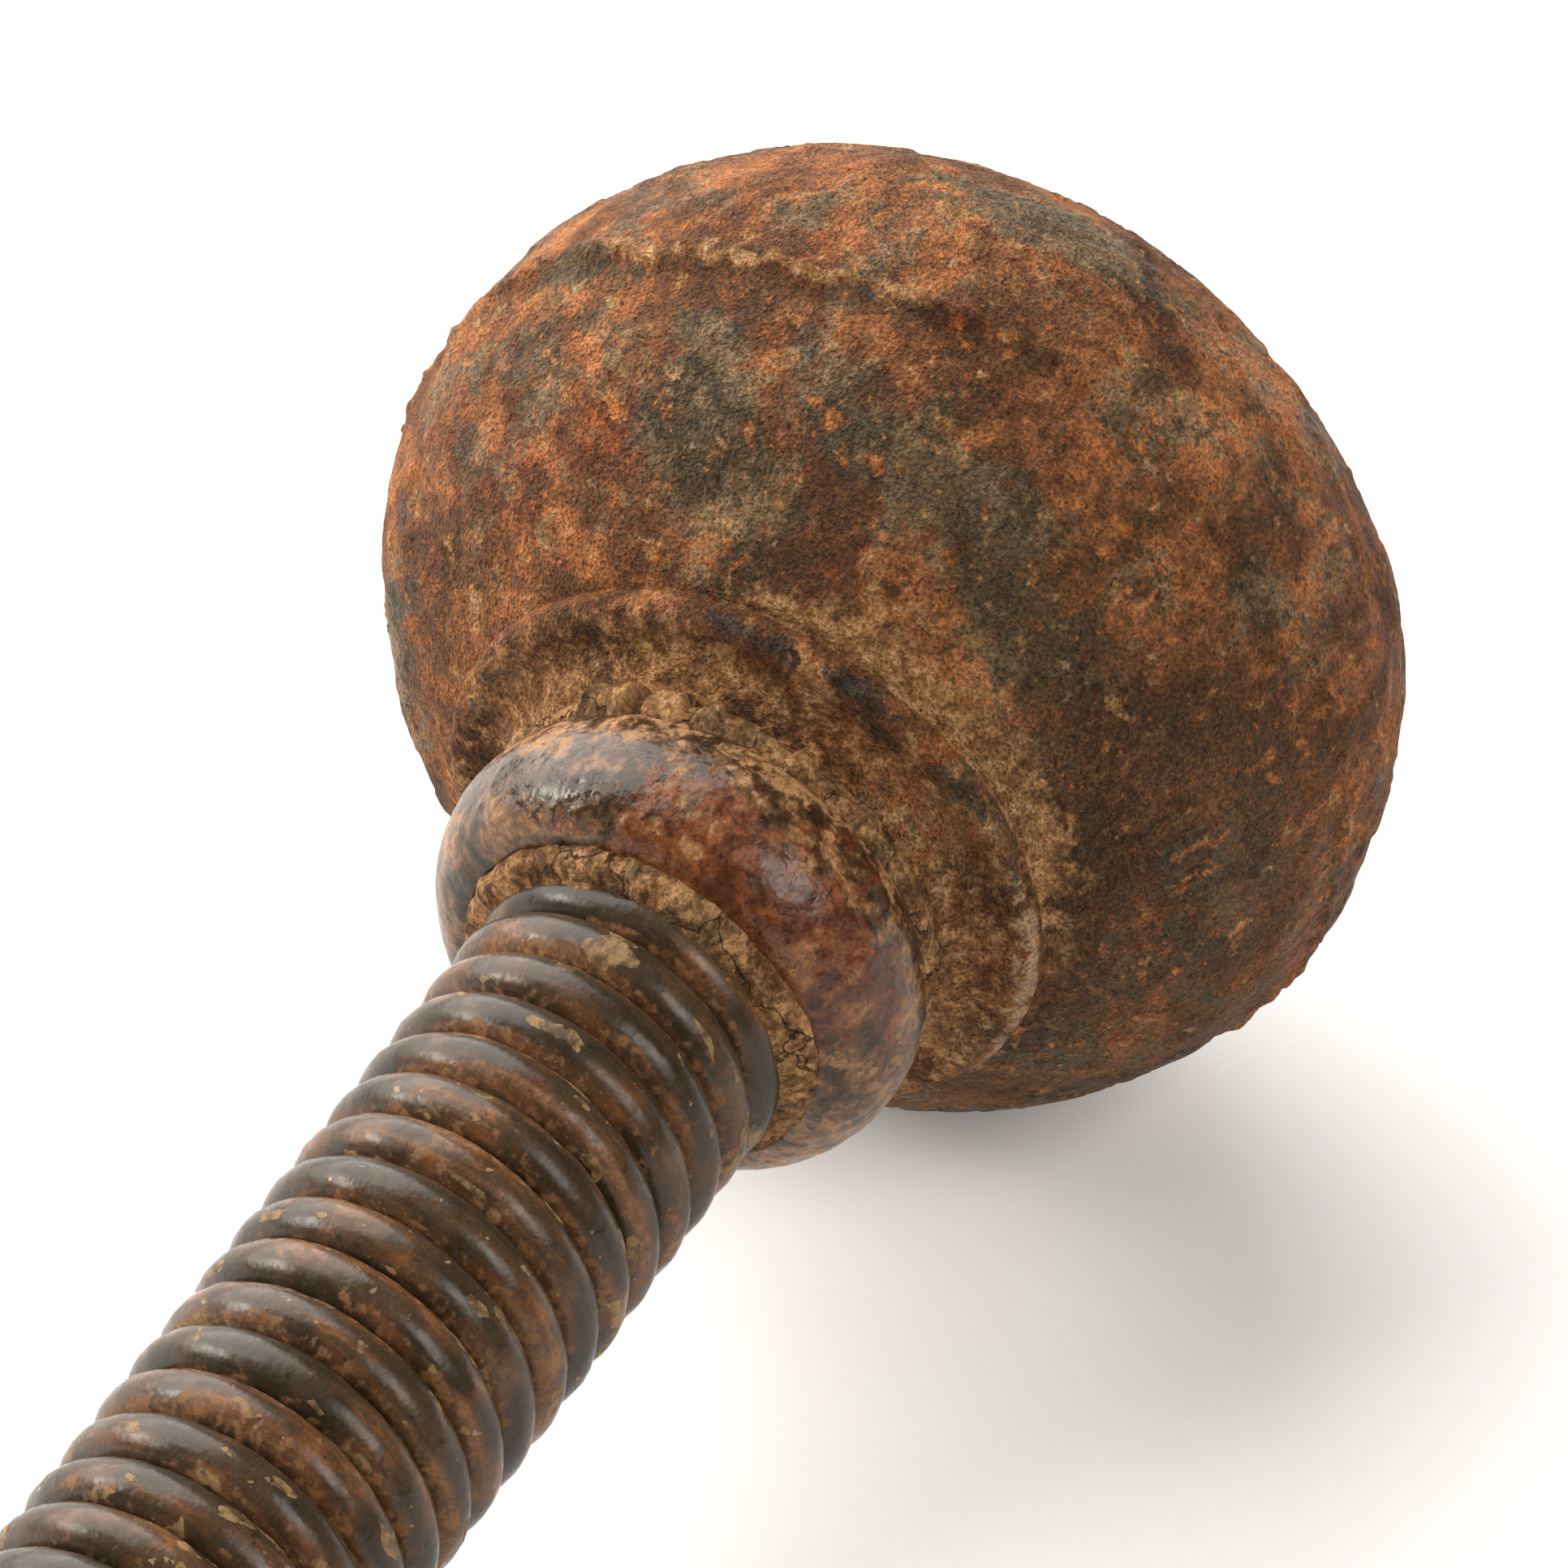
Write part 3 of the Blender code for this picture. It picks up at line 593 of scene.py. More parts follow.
def dark_steel():
    """Blackened steel, rubbed bright at its edges and freckled with rust."""
    s = Shader("dark_worn_steel")
    middle = s.noise(0.4, 5.0, 0.65)
    small = s.noise(1.9, 5.0, 0.7)
    fine = s.noise(1.0, 3.0, 0.6, place=s.stretched(1.0, 1.0, 9.0))
    s.colour = s.ramp(s.total((middle, 0.6), (small, 0.4)), (0.36, (48, 42, 38)), (0.64, (84, 74, 66)))
    rust = s.mask(0.80, 0.95, (middle, 0.6), (small, 0.8), ("grime", 0.35))
    s.over(s.ramp(small, (0.36, (84, 46, 28)), (0.64, (146, 84, 46))), 0.85, rust)
    rub = s.mask(0.72, 0.98, ("edge", 0.7), (fine, 0.4), (small, 0.3))
    s.over((148, 142, 134), 0.8, rub)
    metal = s.step(rust, 0.0, 1.0, 0.75, 0.1)
    roughness = s.total((s.step(small, 0.3, 0.7, 0.36, 0.52), 1.0), (rust, 0.35))
    height = s.total((fine, 0.12), (small, 0.3), (rust, 0.35))
    return s.finish(roughness, s.bump(height, 0.14), Metallic=metal)


def dull_steel(name, on_cad_mesh=False):
    """Grey steel with light pitting, for the rod, the stud, the pins, the washer and the nut."""
    s = Shader(name, on_cad_mesh)
    middle = s.noise(0.5, 5.0, 0.65)
    small = s.noise(2.4, 5.0, 0.7)
    s.colour = s.ramp(s.total((middle, 0.5), (small, 0.5)), (0.36, (96, 90, 84)), (0.64, (146, 140, 132)))
    rust = s.mask(0.76, 0.90, (middle, 0.7), (small, 0.7))
    s.over(s.ramp(small, (0.36, (90, 50, 30)), (0.64, (150, 88, 48))), 0.85, rust)
    metal = s.step(rust, 0.0, 1.0, 0.85, 0.1)
    roughness = s.total((s.step(small, 0.3, 0.7, 0.38, 0.52), 1.0), (rust, 0.3))
    return s.finish(roughness, s.bump(s.total((small, 0.5), (rust, 0.4)), 0.12), Metallic=metal)


# The material of each slot
MATERIALS = {
    "rusted_iron": rusted_iron(),
    "painted_iron": worn_paint(),
    "dry_putty": dry_putty(),
    "spring_steel": spring_wire(),
    "oiled_wood": oiled_wood(),
    "dark_steel": dark_steel(),
    "dull_steel": dull_steel("dull_pitted_steel"),
}
INNER_STEEL = dull_steel("dull_pitted_steel_cad", on_cad_mesh=True)

# ---- the ball

# Where the ball's stains are: azimuth in degrees, height from its centre, half width, half height, strength
STAINS = {
    "grey": (
        (146, -3.8, 3.2, 1.6, 0.8), (168, -11.9, 3.4, 5.0, 1.0), (200, -11.5, 7.0, 3.6, 1.0),
        (237, -4.1, 3.0, 2.5, 0.7), (218, -14.5, 6.0, 2.6, 0.6), (183, -10, 4, 3, 0.6), (175, -15, 5, 3, 0.8),
        (196, 7.5, 8, 3, 0.9), (20, -6, 8, 5, 0.8), (60, 6, 7, 6, 0.8), (300, 2, 8, 5, 0.8),
        (330, -12, 6, 4, 0.7), (90, -14, 6, 4, 0.7),
    ),
    # The dark rows low down at azimuths 250 and 264 are partly dark rust and partly painted shade on the ball's
    # lower side
    "dark": (
        (235, -14.0, 8.0, 3.4, 1.0), (218, -13.8, 6.0, 3.0, 0.9), (200, -12.0, 5.0, 2.4, 0.6),
        (144, -15.3, 1.3, 1.0, 1.0), (192, -3.9, 6.0, 0.8, 0.8), (250, -9, 5, 3, 0.6), (10, 4, 6, 4, 0.8),
        (310, -10, 7, 4, 0.8), (75, -8, 6, 3, 0.8), (264, -11, 9, 6, 0.9), (250, -16, 8, 3, 0.8),
    ),
    "orange": (
        (155, -12.6, 2.0, 0.9, 1.0), (197, -4.2, 3.0, 1.2, 0.9), (216, -8.0, 3.6, 2.4, 0.9),
        (148, -18.6, 4.0, 1.6, 0.8), (160, -2.0, 4.0, 1.4, 0.8), (254, -3.2, 2.0, 6.0, 0.5),
        (144, -14.0, 2.0, 1.2, 0.8), (174, 5, 8, 3, 0.7), (206, -1, 3, 2, 0.6), (40, -4, 5, 3, 0.8),
        (280, 6, 6, 4, 0.8), (340, 4, 6, 4, 0.7), (110, 8, 6, 4, 0.7),
    ),
    "red": (
        (154, -13.8, 4.0, 3.4, 1.0), (140, -14.5, 4.0, 4.0, 0.9), (268, -14.5, 6.0, 3.0, 0.8),
        (184, -3.5, 8.0, 1.5, 0.8), (126, -10, 4, 4, 0.7), (50, 2, 8, 6, 0.8), (320, -4, 8, 5, 0.8),
        (222, -9.5, 3.0, 2.0, 0.6),
    ),
    "ochre": ((200, -9.5, 3.6, 1.2, 1.0), (184, 4.6, 2, 1, 0.8), (210, -9, 2, 1, 0.7), (30, 8, 3, 2, 0.8)),
    "pale": (
        (219, -4.4, 3.0, 0.6, 0.9), (181, 3.6, 0.5, 0.5, 1.0), (229, -14.9, 0.35, 0.35, 1.0),
        (165, -10.5, 1.4, 2.2, 0.35), (169, -14.4, 1.5, 1.6, 0.3), (101, -11.9, 1.0, 1.6, 1.1),
        (162, -3.0, 4.6, 0.7, 0.8), (214, -15.0, 1.2, 1.2, 0.6),
    ),
}


def stained(points, rows, wobble):
    """How deep each point lies in any of a stain's ragged patches, from 0 outside to 1."""
    deepest = np.zeros(len(points))
    for azimuth, height, wide, high, strength in rows:
        angle = math.radians(azimuth)
        reach = BALL_RADIUS * math.sqrt(max(0.0, 1 - (height / BALL_HALF_HEIGHT) ** 2))
        away = points - np.array([reach * math.cos(angle), reach * math.sin(angle), BALL_CENTRE + height])
        sideways = away @ np.array([-math.sin(angle), math.cos(angle), 0])
        upright = np.sqrt(np.maximum(0, (away**2).sum(axis=1) - sideways**2))
        depth = 1.3 - np.hypot(sideways / wide, upright / high) + 0.5 * wobble
        deepest = np.maximum(deepest, strength * np.clip(depth, 0, 1))
    return deepest


def ball_line():
    """The outline down the ball, lip and throat to the stud's hole, and the places in it where those end."""
    steps, join = 158, math.radians(128)
    bends = [join * i / steps for i in range(steps + 1)]
    line = [(BALL_RADIUS * math.sin(a), BALL_CENTRE + BALL_HALF_HEIGHT * math.cos(a)) for a in bends]
    lip_top = (LIP_RADIUS - 0.3, LIP_HEIGHT + 1.3)
    line += bezier(line[-1], (LIP_RADIUS + 1.6, LIP_HEIGHT + 2.0), lip_top, 24)[1:]
    ball_end = len(line)
    lip = [lip_top, (LIP_RADIUS, LIP_HEIGHT + 0.3), (LIP_RADIUS - 0.5, LIP_HEIGHT - 0.45)]
    line += rounded([*lip, (LIP_RADIUS - 1.6, LIP_HEIGHT - 0.5)], 0.55, 4)[1:]
    lip_end = len(line)
    line += bezier(line[-1], (15.2, LIP_HEIGHT + 0.5), (13.0, 0.0), 18)[1:]
    throat_end = len(line)
    line += [(10.35, 0.0), (10.35, 4.5), (6.5, 4.5), (6.5, 20.8), (0.0, 20.8)]
    return line, ball_end, lip_end, throat_end


def build_ball():
    """The rusted ball with its collar, lip and dished throat."""
    line, ball_end, lip_end, throat_end = ball_line()
    points, normals, faces, index = lathe(line, 450)
    azimuth = azimuths(points)
    height = points[:, 2] - BALL_CENTRE
    outer = (index < ball_end).astype(float)
    throat = rise(index, ball_end - 2, lip_end) * (index < throat_end)
    edge = peak(index, (ball_end + lip_end) / 2, 4.5)
    skin = np.clip(1 - (index - throat_end + 1) / 4.0, 0, 1)

    lumps = fractal(points, 0.055, 2, 1)
    knobs = fractal(points, 0.22, 4, 2)
    crust = fractal(points, 0.7, 3, 3, 0.6)
    wobble = fractal(points, 0.3, 3, 4, 0.6)
    dents = pits(points, 0.36, 0.24, 0.42, 5)
    pocks = pits(points, 0.85, 0.34, 0.44, 6)
    scale_plate = rise(knobs + 0.3 * crust, 0.12, 0.20)

    # The seam round the ball stands out most on the side that lies up when the club is at rest
    above_seam = height - (-3.4 + 1.0 * fractal(points, 0.12, 3, 7) + 0.35 * wobble)
    bearing = turn_from(azimuth, 168)
    seam_strength = 0.35 + 0.65 * rise(-bearing, -48, -22)
    seam = peak(above_seam, 0, 0.55) * seam_strength
    shelf = rise(above_seam, -0.5, 0.5) * seam_strength * np.exp(-np.maximum(0, above_seam) / 7)
    # Painted shadow: a dark band just below the seam's ridge
    under_seam_shadow = peak(above_seam, -1.1, 0.7) * seam_strength

    rim = peak(points[:, 2], LIP_HEIGHT + 0.9, 1.7) * outer
    patchy = rise(wobble, -0.25, 0.1)
    shoulder = peak(index, lip_end + 2, 4.0) * toward(azimuth, 214, 42) * patchy
    # Darker rust and painted shade on the ball's lower side, on the right
    underside_rust_and_shade = toward(azimuth, 285, 85) * rise(-height, 0, 12)
    lip_highlight_side = toward(azimuth, 278, 44)
    # Painted shadow: dark on the ball just beyond the lip, on the lower right
    under_lip_shadow = peak(index, ball_end - 9, 6.0) * toward(azimuth, 280, 62)
    throat_shade = 0.5 * rise(wobble, 0.1, 0.5) + 0.45 * toward(azimuth, 232, 40)
    layers = {name: stained(points, rows, wobble) for name, rows in STAINS.items()}
    # Besides dark rust, the dark layer takes painted shade here: shadows under the seam and the lip, and shade low
    # on the right
    layers["dark"] += throat * throat_shade + 1.3 * shoulder + 0.9 * under_seam_shadow
    layers["dark"] += 0.75 * underside_rust_and_shade * (1 - throat) + 0.9 * under_lip_shadow
    layers["orange"] *= 1 - throat
    layers["red"] *= 1 - throat
    # Painted highlight: a pale line along the lip's edge on the lower right, added to the pale scuffs
    layers["pale"] = np.maximum(layers["pale"] + 1.5 * edge * lip_highlight_side, 0.3 * seam * rise(-bearing, -22, -8))
    dusty = rim * (0.25 + 0.95 * toward(azimuth, 222, 62)) + throat * (0.48 + 0.2 * toward(azimuth, 150, 62))
    dusty += 1.1 * seam * rise(-bearing - 8 * wobble, -26, -6) - 0.9 * shoulder
    layers["dust"] = np.clip(dusty, 0, 1)
    layers["edge"] = edge * (0.25 + 0.75 * toward(azimuth, 203, 46)) * (1 - lip_highlight_side) * patchy
    layers["pit"] = np.clip(0.8 * dents + 0.7 * pocks, 0, 1) * outer

    rough = 0.28 * lumps + 0.12 * knobs + 0.07 * crust - 0.12 * dents - 0.12 * pocks + 0.10 * scale_plate
    fine = 0.09 * knobs + 0.045 * crust + 0.03 * layers["dust"]
    near_lip = rise(np.abs(points[:, 2] - LIP_HEIGHT), 0.3, 4.0)
    raised = near_lip * rough + (1 - near_lip) * fine + seam * (0.60 + 0.8 * crust) + 0.26 * shelf
    push = outer * raised + (1 - outer) * fine - edge * (0.35 * rise(wobble, 0.2, 0.6) + 0.12 * knobs)
    moved = points + normals * (push * skin)[:, None]
    make_piece("rusted_ball", "rusted_iron", moved, faces, SEAT, ["ball_head"], "head", layers)


# ---- the ring, its putty and the seam behind it


def build_ring():
    """The fat neck ring, with its worn paint."""
    top = SEAT_HEIGHT - 0.3 - 15.0 * math.sin(HEAD_LEAN)
    crest = (15.0, 10.2)
    line = bezier((13.2, top), (crest[0], top - 1.8), crest, 24)
    line += quarter_round((11.3, crest[1]), 3.7, 5.3, 36)
    line += rounded([line[-1], (10.95, 4.95), (10.9, 8.9), (10.65, 8.9), (10.65, top)], 0.25, 3)[1:]
    points, normals, faces, _ = lathe(resampled(line, 0.6), 340)
    azimuth = azimuths(points)
    height = points[:, 2]
    shown = rise(radii(points), 10.9, 11.4)
    wobble = fractal(points, 0.35, 4, 21, 0.6)
    lumps = fractal(points, 0.13, 3, 22)
    crust = fractal(points, 0.9, 3, 23, 0.6)
    pocks = pits(points, 0.8, 0.16, 0.4, 24)
    front = rise(-height, -11.5, -8.0)
    behind = rise(height, 10.0, 13.5)
    worn = toward(azimuth, 150, 40) * rise(height, 5.2, 6.4) * rise(-height, -11.5, -9.0)
    painted = toward(azimuth, 222, 62) * (0.35 + 0.65 * front) + 0.35 * toward(azimuth, 165, 40) * front
    layers = {
        "paint": np.clip(painted, 0, 1),
        "bare": np.clip(worn, 0, 1),
        "crust": np.clip(0.7 * behind + 0.35 * toward(azimuth, 185, 50) * rise(height, 8, 10.5), 0, 1),
    }
    push = (0.10 * lumps + 0.05 * wobble + 0.035 * crust - 0.10 * pocks) * shown
    moved = points + normals * push[:, None]
    make_piece("painted_neck_ring", "painted_iron", moved, faces, RING, ["neck_ring"], "head", layers, points)


def build_seat_putty():
    """Cracked putty that fills the ring's mouth round the spring's first turns."""
    line = [(11.15, 8.4), (11.2, 5.3), (11.05, 4.6), (10.7, 4.05), (10.2, 3.55), (9.6, 3.15), (8.9, 3.3)]
    points, normals, faces, _ = lathe(resampled(rounded([*line, (8.8, 8.4)], 0.4, 3), 0.22), 360)
    azimuth = np.arctan2(points[:, 1], points[:, 0])
    low = rise(-points[:, 2], -6.0, -4.6)
    outer = rise(radii(points), 10.0, 10.8)
    crumbs = fractal(points, 0.9, 4, 31, 0.6)
    swell = fractal(points, 0.16, 2, 32)
    distance, number = cells(points, 0.42, 33)
    slab = (number - 0.5) * rise(-distance, -0.70, -0.30)
    chips = pits(points, 0.5, 0.14, 0.45, 34)
    side = 0.35 * np.cos(azimuth - math.radians(235))
    side += 0.6 * np.maximum(0, np.cos(azimuth - LEAN_AZIMUTH)) * outer
    push = low * (0.17 * crumbs + 0.22 * swell + 0.10 * slab - 0.22 * chips + side)
    moved = points + normals * push[:, None]
    make_piece("cracked_seat_putty", "dry_putty", moved, faces, SHAFT, ["seat_packing"], "head", rest=points)


def build_seam_flakes():
    """The flaking line of putty where the ring meets the throat, with a few larger chunks."""
    turns = np.linspace(math.pi, -math.pi, 25)[:-1]
    line = [(13.55 + 0.75 * math.cos(a), -0.95 + 1.15 * math.sin(a)) for a in turns]
    points, normals, faces, _ = lathe(line, 560)
    azimuth = azimuths(points)
    crumbs = fractal(points, 0.9, 3, 41, 0.6)
    broken = rise(fractal(points * (1, 1, 0.3), 0.4, 3, 42, 0.5), -0.1, 0.15)
    push = -0.22 + 0.10 * crumbs + 0.26 * broken
    upper = ((155, 7.0, 0.85), (170, 5.0, 0.62), (181, 2.5, 0.4), (205, 3, 0.2), (225, 4, 0.2))
    for bearing, width, amount in (*upper, (120, 4, 0.3), (20, 5, 0.5), (310, 4, 0.4)):
        push += amount * rise(-turn_from(azimuth, bearing) - 1.2 * crumbs, -width, -width * 0.85)
    moved = points + normals * np.clip(push, -0.34, 0.95)[:, None]
    make_piece("seam_flakes", "dry_putty", moved, faces, SEAT, body="head", rest=points)


# ---- the spring


def wire_length(name, first, last, nodes, body=None):
    """The wire between two turns, with closed ends, for the CAD nodes it stands for."""
    per_turn, around = 84, 24
    count = max(2, round((last - first) * per_turn))
    turn = np.linspace(first, last, count + 1)
    angle = -2 * math.pi * turn
    outward = np.stack([np.cos(angle), np.sin(angle), np.zeros_like(turn)], axis=1)
    onward = np.stack([np.sin(angle), -np.cos(angle), np.zeros_like(turn)], axis=1)
    centre = COIL_RADIUS * outward
    centre[:, 2] = TOP_CUT + PITCH * turn
    run = 2 * math.pi * COIL_RADIUS * onward
    run[:, 2] = PITCH
    run /= np.linalg.norm(run, axis=1)[:, None]
    beside = np.cross(run, outward)
    about = np.arange(around) * 2 * math.pi / around
    normals = outward[:, None] * np.cos(about)[:, None] + beside[:, None] * np.sin(about)[:, None]
    points = (centre[:, None] + normals * WIRE_RADIUS).reshape(-1, 3)
    normals = normals.reshape(-1, 3)
    lengthwise = np.repeat(turn, around) * 2 * math.pi * COIL_RADIUS
    out, side = np.tile(np.cos(about), count + 1), np.tile(np.sin(about), count + 1)
    swell = fractal(points, 0.35, 3, 51)
    dints = fractal(points, 1.3, 3, 52, 0.6)
    bands = np.stack([lengthwise * 0.42, side * 1.5, out * 1.5], axis=1)
    flake = 0.5 + 1.6 * (fractal(bands, 0.7, 3, 53, 0.5) - 0.40)
    push = rise(out, -0.2, 0.3) * (0.045 * swell + 0.03 * dints + 0.05 * rise(flake, 0.44, 0.52)) + 0.03
    moved = points + normals * push[:, None]
    faces = []
    for i in range(count):
        low, high = i * around, (i + 1) * around
        for j in range(around):
            k = (j + 1) % around
            faces.append((low + j, low + k, high + k, high + j))
    faces.append(tuple(reversed(range(around))))
    faces.append(tuple(count * around + j for j in range(around)))
    layers = {
        "side": np.where(out > 0, np.abs(side), 1),
        "crown": np.clip(out, 0, 1) ** 2,
        "lengthwise": lengthwise,
        "about": out * 0.9,
        "turned": side * 0.9,
        "flake": flake,
    }
    return make_piece(name, "spring_steel", moved, faces, SHAFT, nodes, body, layers, points, sharp=50)


def build_spring():
    """One smooth spring, with a piece across each cut."""
    numbers = [f"turns_{i + 1:02d}" for i in range(LENGTH_COUNT)]
    nodes = ["coil_grip_end", *(f"coil_{number}" for number in numbers), "coil_head_end"]
    cuts = [(i - LENGTH_COUNT) * TURNS_PER_LENGTH for i in range(LENGTH_COUNT + 1)]
    half = TURNS_PER_LENGTH / 2
    wire_length("spring_foot", cuts[0] - GRIP_END_TURNS, cuts[0] - half, nodes[:1], "grip")
    for i, cut in enumerate(cuts):
        piece = wire_length(f"spring_bend_{i + 1:02d}", cut - half, cut + half, nodes[i : i + 2])
        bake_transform(piece)
    wire_length("spring_top", cuts[-1] + half, cuts[-1] + HEAD_END_TURNS, nodes[-1:], "head")


# ---- the grip


def turned_piece(
    name, slot, node, line, spacing, around, seed, depth, worn_at=(), layers=None, displace=None, sharp=None
):
    """A turned part of the grip that stands for its CAD node, uneven by depth and worn at some corners.

    The functions layers and displace give its other attributes and how far its points are moved outward.
    """
    points, normals, faces, _ = lathe(resampled(line, spacing), around)
    radius = radii(points)
    edge = np.zeros(len(points))
    for r, z in worn_at:
        edge = np.maximum(edge, peak(np.hypot(radius - r, points[:, 2] - z), 0, 0.55))
    attributes = {"edge": edge, "grime": np.zeros(len(points)), **(layers(points) if layers else {})}
    push = depth * fractal(points, 0.25, 4, seed)
    if displace:
        push = push + displace(points)
    moved = points + normals * push[:, None]
    make_piece(name, slot, moved, faces, SHAFT, [node], "grip", attributes, points, sharp)


def wood_line():
    """The wood's outline, as the CAD has it, drawn smooth."""
    swell, waist = (15.4, WOOD_SHOULDER - 38.0), (14.2, KNOB_HEIGHT + 18.0)
    near_knob = (16.9, KNOB_HEIGHT + 4.5)
    line = [(10.4, WOOD_TOP), (11.0, WOOD_TOP - 0.6), (11.0, WOOD_SHOULDER), (12.55, WOOD_SHOULDER)]
    line += bezier((12.9, WOOD_SHOULDER - 0.4), (swell[0], WOOD_SHOULDER - 14), swell, 40)
    line += bezier(swell, (15.0, swell[1] - 14), waist, 36)[1:]
    line += bezier(waist, (14.6, KNOB_HEIGHT + 8.0), near_knob, 24)[1:]
    line += bezier(near_knob, (KNOB_RADIUS, KNOB_HEIGHT + 2.5), (KNOB_RADIUS, KNOB_HEIGHT), 10)[1:]
    line += quarter_round((KNOB_RADIUS - 2.4, KNOB_HEIGHT), 2.4, KNOB_HEIGHT - WOOD_END, 24)
    return line + [(ROD_HOLE, WOOD_END), (ROD_HOLE, WOOD_TOP)]


def build_wood():
    """The wooden grip, with four turned grooves and some knocks."""
    grooves = (WOOD_SHOULDER - 5.0, WOOD_SHOULDER - 7.0, KNOB_HEIGHT + 12.0, KNOB_HEIGHT + 14.0)

    def layers(points):
        grime = rise(-np.abs(points[:, 2] - WOOD_SHOULDER), -7.0, -0.5) * 0.6
        for z in grooves:
            grime = np.maximum(grime, peak(points[:, 2], z, 0.7))
        return {"grime": grime}

    def displace(points):
        cut = -0.28 * pits(points, 0.07, 0.30, 0.16, 62)
        for z in grooves:
            cut -= 0.38 * peak(points[:, 2], z, 0.45)
        return cut * (radii(points) > 11.5)

    turned_piece(
        "turned_wood_grip", "oiled_wood", "wood_grip", wood_line(), spacing=0.7, around=180, seed=61,
        depth=0.10, worn_at=((KNOB_RADIUS, KNOB_HEIGHT), (17.4, KNOB_HEIGHT - 6)), layers=layers,
        displace=displace,
    )


def build_ferrule():
    """The steel ferrule, with a bead at each end, and the putty in its mouth."""
    top, foot = FERRULE_MOUTH, FERRULE_MOUTH - 24.0
    inside, outside, bead = FERRULE_INSIDE, FERRULE_OUTSIDE, FERRULE_OUTSIDE + 0.8
    line = [(inside, foot), (inside, top), (outside, top), (bead, top - 0.7), (bead, top - 1.7)]
    line += [(outside, top - 2.4), (outside, foot + 2.4), (bead, foot + 1.7), (bead, foot + 0.7)]
    line += [(outside, foot), (inside + 0.05, foot)]

    def layers(points):
        close = np.minimum(np.abs(points[:, 2] - top + 2.6), np.abs(points[:, 2] - foot - 2.6))
        return {"grime": rise(-close, -1.6, -0.2)}

    turned_piece(
        "steel_ferrule", "dark_steel", "grip_ferrule", rounded(line, 0.55, 5), spacing=0.45, around=200,
        seed=63, depth=0.05, worn_at=((bead, top - 1.2), (bead, foot + 1.2), (outside, top)), layers=layers,
    )

    def crumbs(points):
        lumps = 0.22 * fractal(points, 0.8, 4, 65, 0.6) - 0.3 * pits(points, 0.55, 0.25, 0.5, 66)
        return rise(points[:, 2], top - 1.5, top) * lumps

    line = [(8.9, top - 12.0), (9.0, top - 0.4), (9.6, top + 0.5), (10.6, top + 0.5), (11.25, top - 0.2)]
    turned_piece(
        "grip_mouth_putty", "dry_putty", "grip_packing", rounded([*line, (11.2, top - 12.0)], 0.4, 3),
        spacing=0.25, around=260, seed=64, depth=0.08, displace=crumbs,
    )


def build_cap():
    """The steel cap at the grip's end, with its washer."""
    line = [(ROD_HOLE, CAP_TOP), (CAP_RADIUS, CAP_TOP), (CAP_RADIUS, CAP_END + 2.0)]
    line += quarter_round((CAP_RADIUS - 2.0, CAP_END + 2.0), 2.0, 2.0, 8)
    line += [(7.0, CAP_END), (7.0, CAP_END + 3.5), (ROD_HOLE, CAP_END + 3.5)]
    turned_piece(
        "steel_pommel_cap", "dark_steel", "pommel_cap", rounded(line, 0.3, 3), spacing=0.5, around=180,
        seed=67, depth=0.04, worn_at=((14.6, CAP_END + 0.7), (CAP_RADIUS, CAP_TOP), (7.1, CAP_END)),
    )
    top, foot = CAP_END + 3.2, CAP_END + 2.4
    line = [(3.35, top), (6.6, top), (6.6, foot), (3.35, foot), (3.35, top)]
    turned_piece(
        "steel_washer", "dull_steel", "pommel_washer", rounded(line, 0.15, 3), spacing=0.5, around=96,
        seed=68, depth=0.01, sharp=40,
    )


def build_nut():
    """A hexagonal nut with its corners chamfered."""
    top, foot = CAP_END + 2.1, CAP_END + 0.3
    line = [(3.5, top), (5.6, top), (5.6, top - 1.45), (5.2, foot), (3.5, foot), (3.5, top - 0.02)]
    points, _, faces, _ = lathe(resampled(rounded(line, 0.12, 3), 0.4), 180)
    angle = np.arctan2(points[:, 1], points[:, 0])
    flat = math.cos(math.radians(30)) / np.cos((angle % math.radians(60)) - math.radians(30))
    share = rise(radii(points), 4.0, 5.0)
    points[:, :2] *= (1 - share * (1 - np.minimum(flat, 0.985)))[:, None]
    make_piece("steel_nut", "dull_steel", points, faces, SHAFT, ["pommel_nut"], "grip", sharp=30)


def build_pins():
    """Two riveted pins, with slightly domed and battered heads, that hold the ferrule to the wood."""
    line = [(0.0, 13.3), (0.6, 13.27), (1.0, 13.15), (1.2, 12.95), (1.2, 5.5), (0.0, 5.5)]
    points, normals, faces, _ = lathe(resampled(line, 0.3), 48)
    x, y, z = (points + normals * (0.02 * fractal(points, 1.2, 3, 71))[:, None]).T
    for side, sign in (("left", 1), ("right", -1)):
        turned = np.stack([x, sign * z, -sign * y + FERRULE_MOUTH - 19.0], axis=1)
        name, node = f"ferrule_rivet_{side}", f"ferrule_pin_{side}"
        make_piece(name, "dull_steel", turned, faces, SHAFT, [node], "grip")


build_ball()
build_ring()
build_seat_putty()
build_seam_flakes()
build_spring()
build_wood()
build_ferrule()
build_cap()
build_nut()
build_pins()
for hidden in ("head_stud", "grip_rod"):
    slots = frame["nodes"][hidden].data.materials
    slots.clear()
    slots.append(INNER_STEEL)

# ---- floor, camera and light

# In metres, but for the distances between which the floor comes to glow, in millimetres
FLOOR_REACH, FLOOR_GAP = 40, 0.0006
GLOW_START, GLOW_END = 900.0, 3200.0
CAMERA_PLACE = ZERO + Vector((-0.294635, -0.169971, 0.324347))
CAMERA_AZIMUTH, CAMERA_DROP = math.radians(28.216), math.radians(41.757)
SENSOR_WIDTH, LENS = 36.0, 190.99
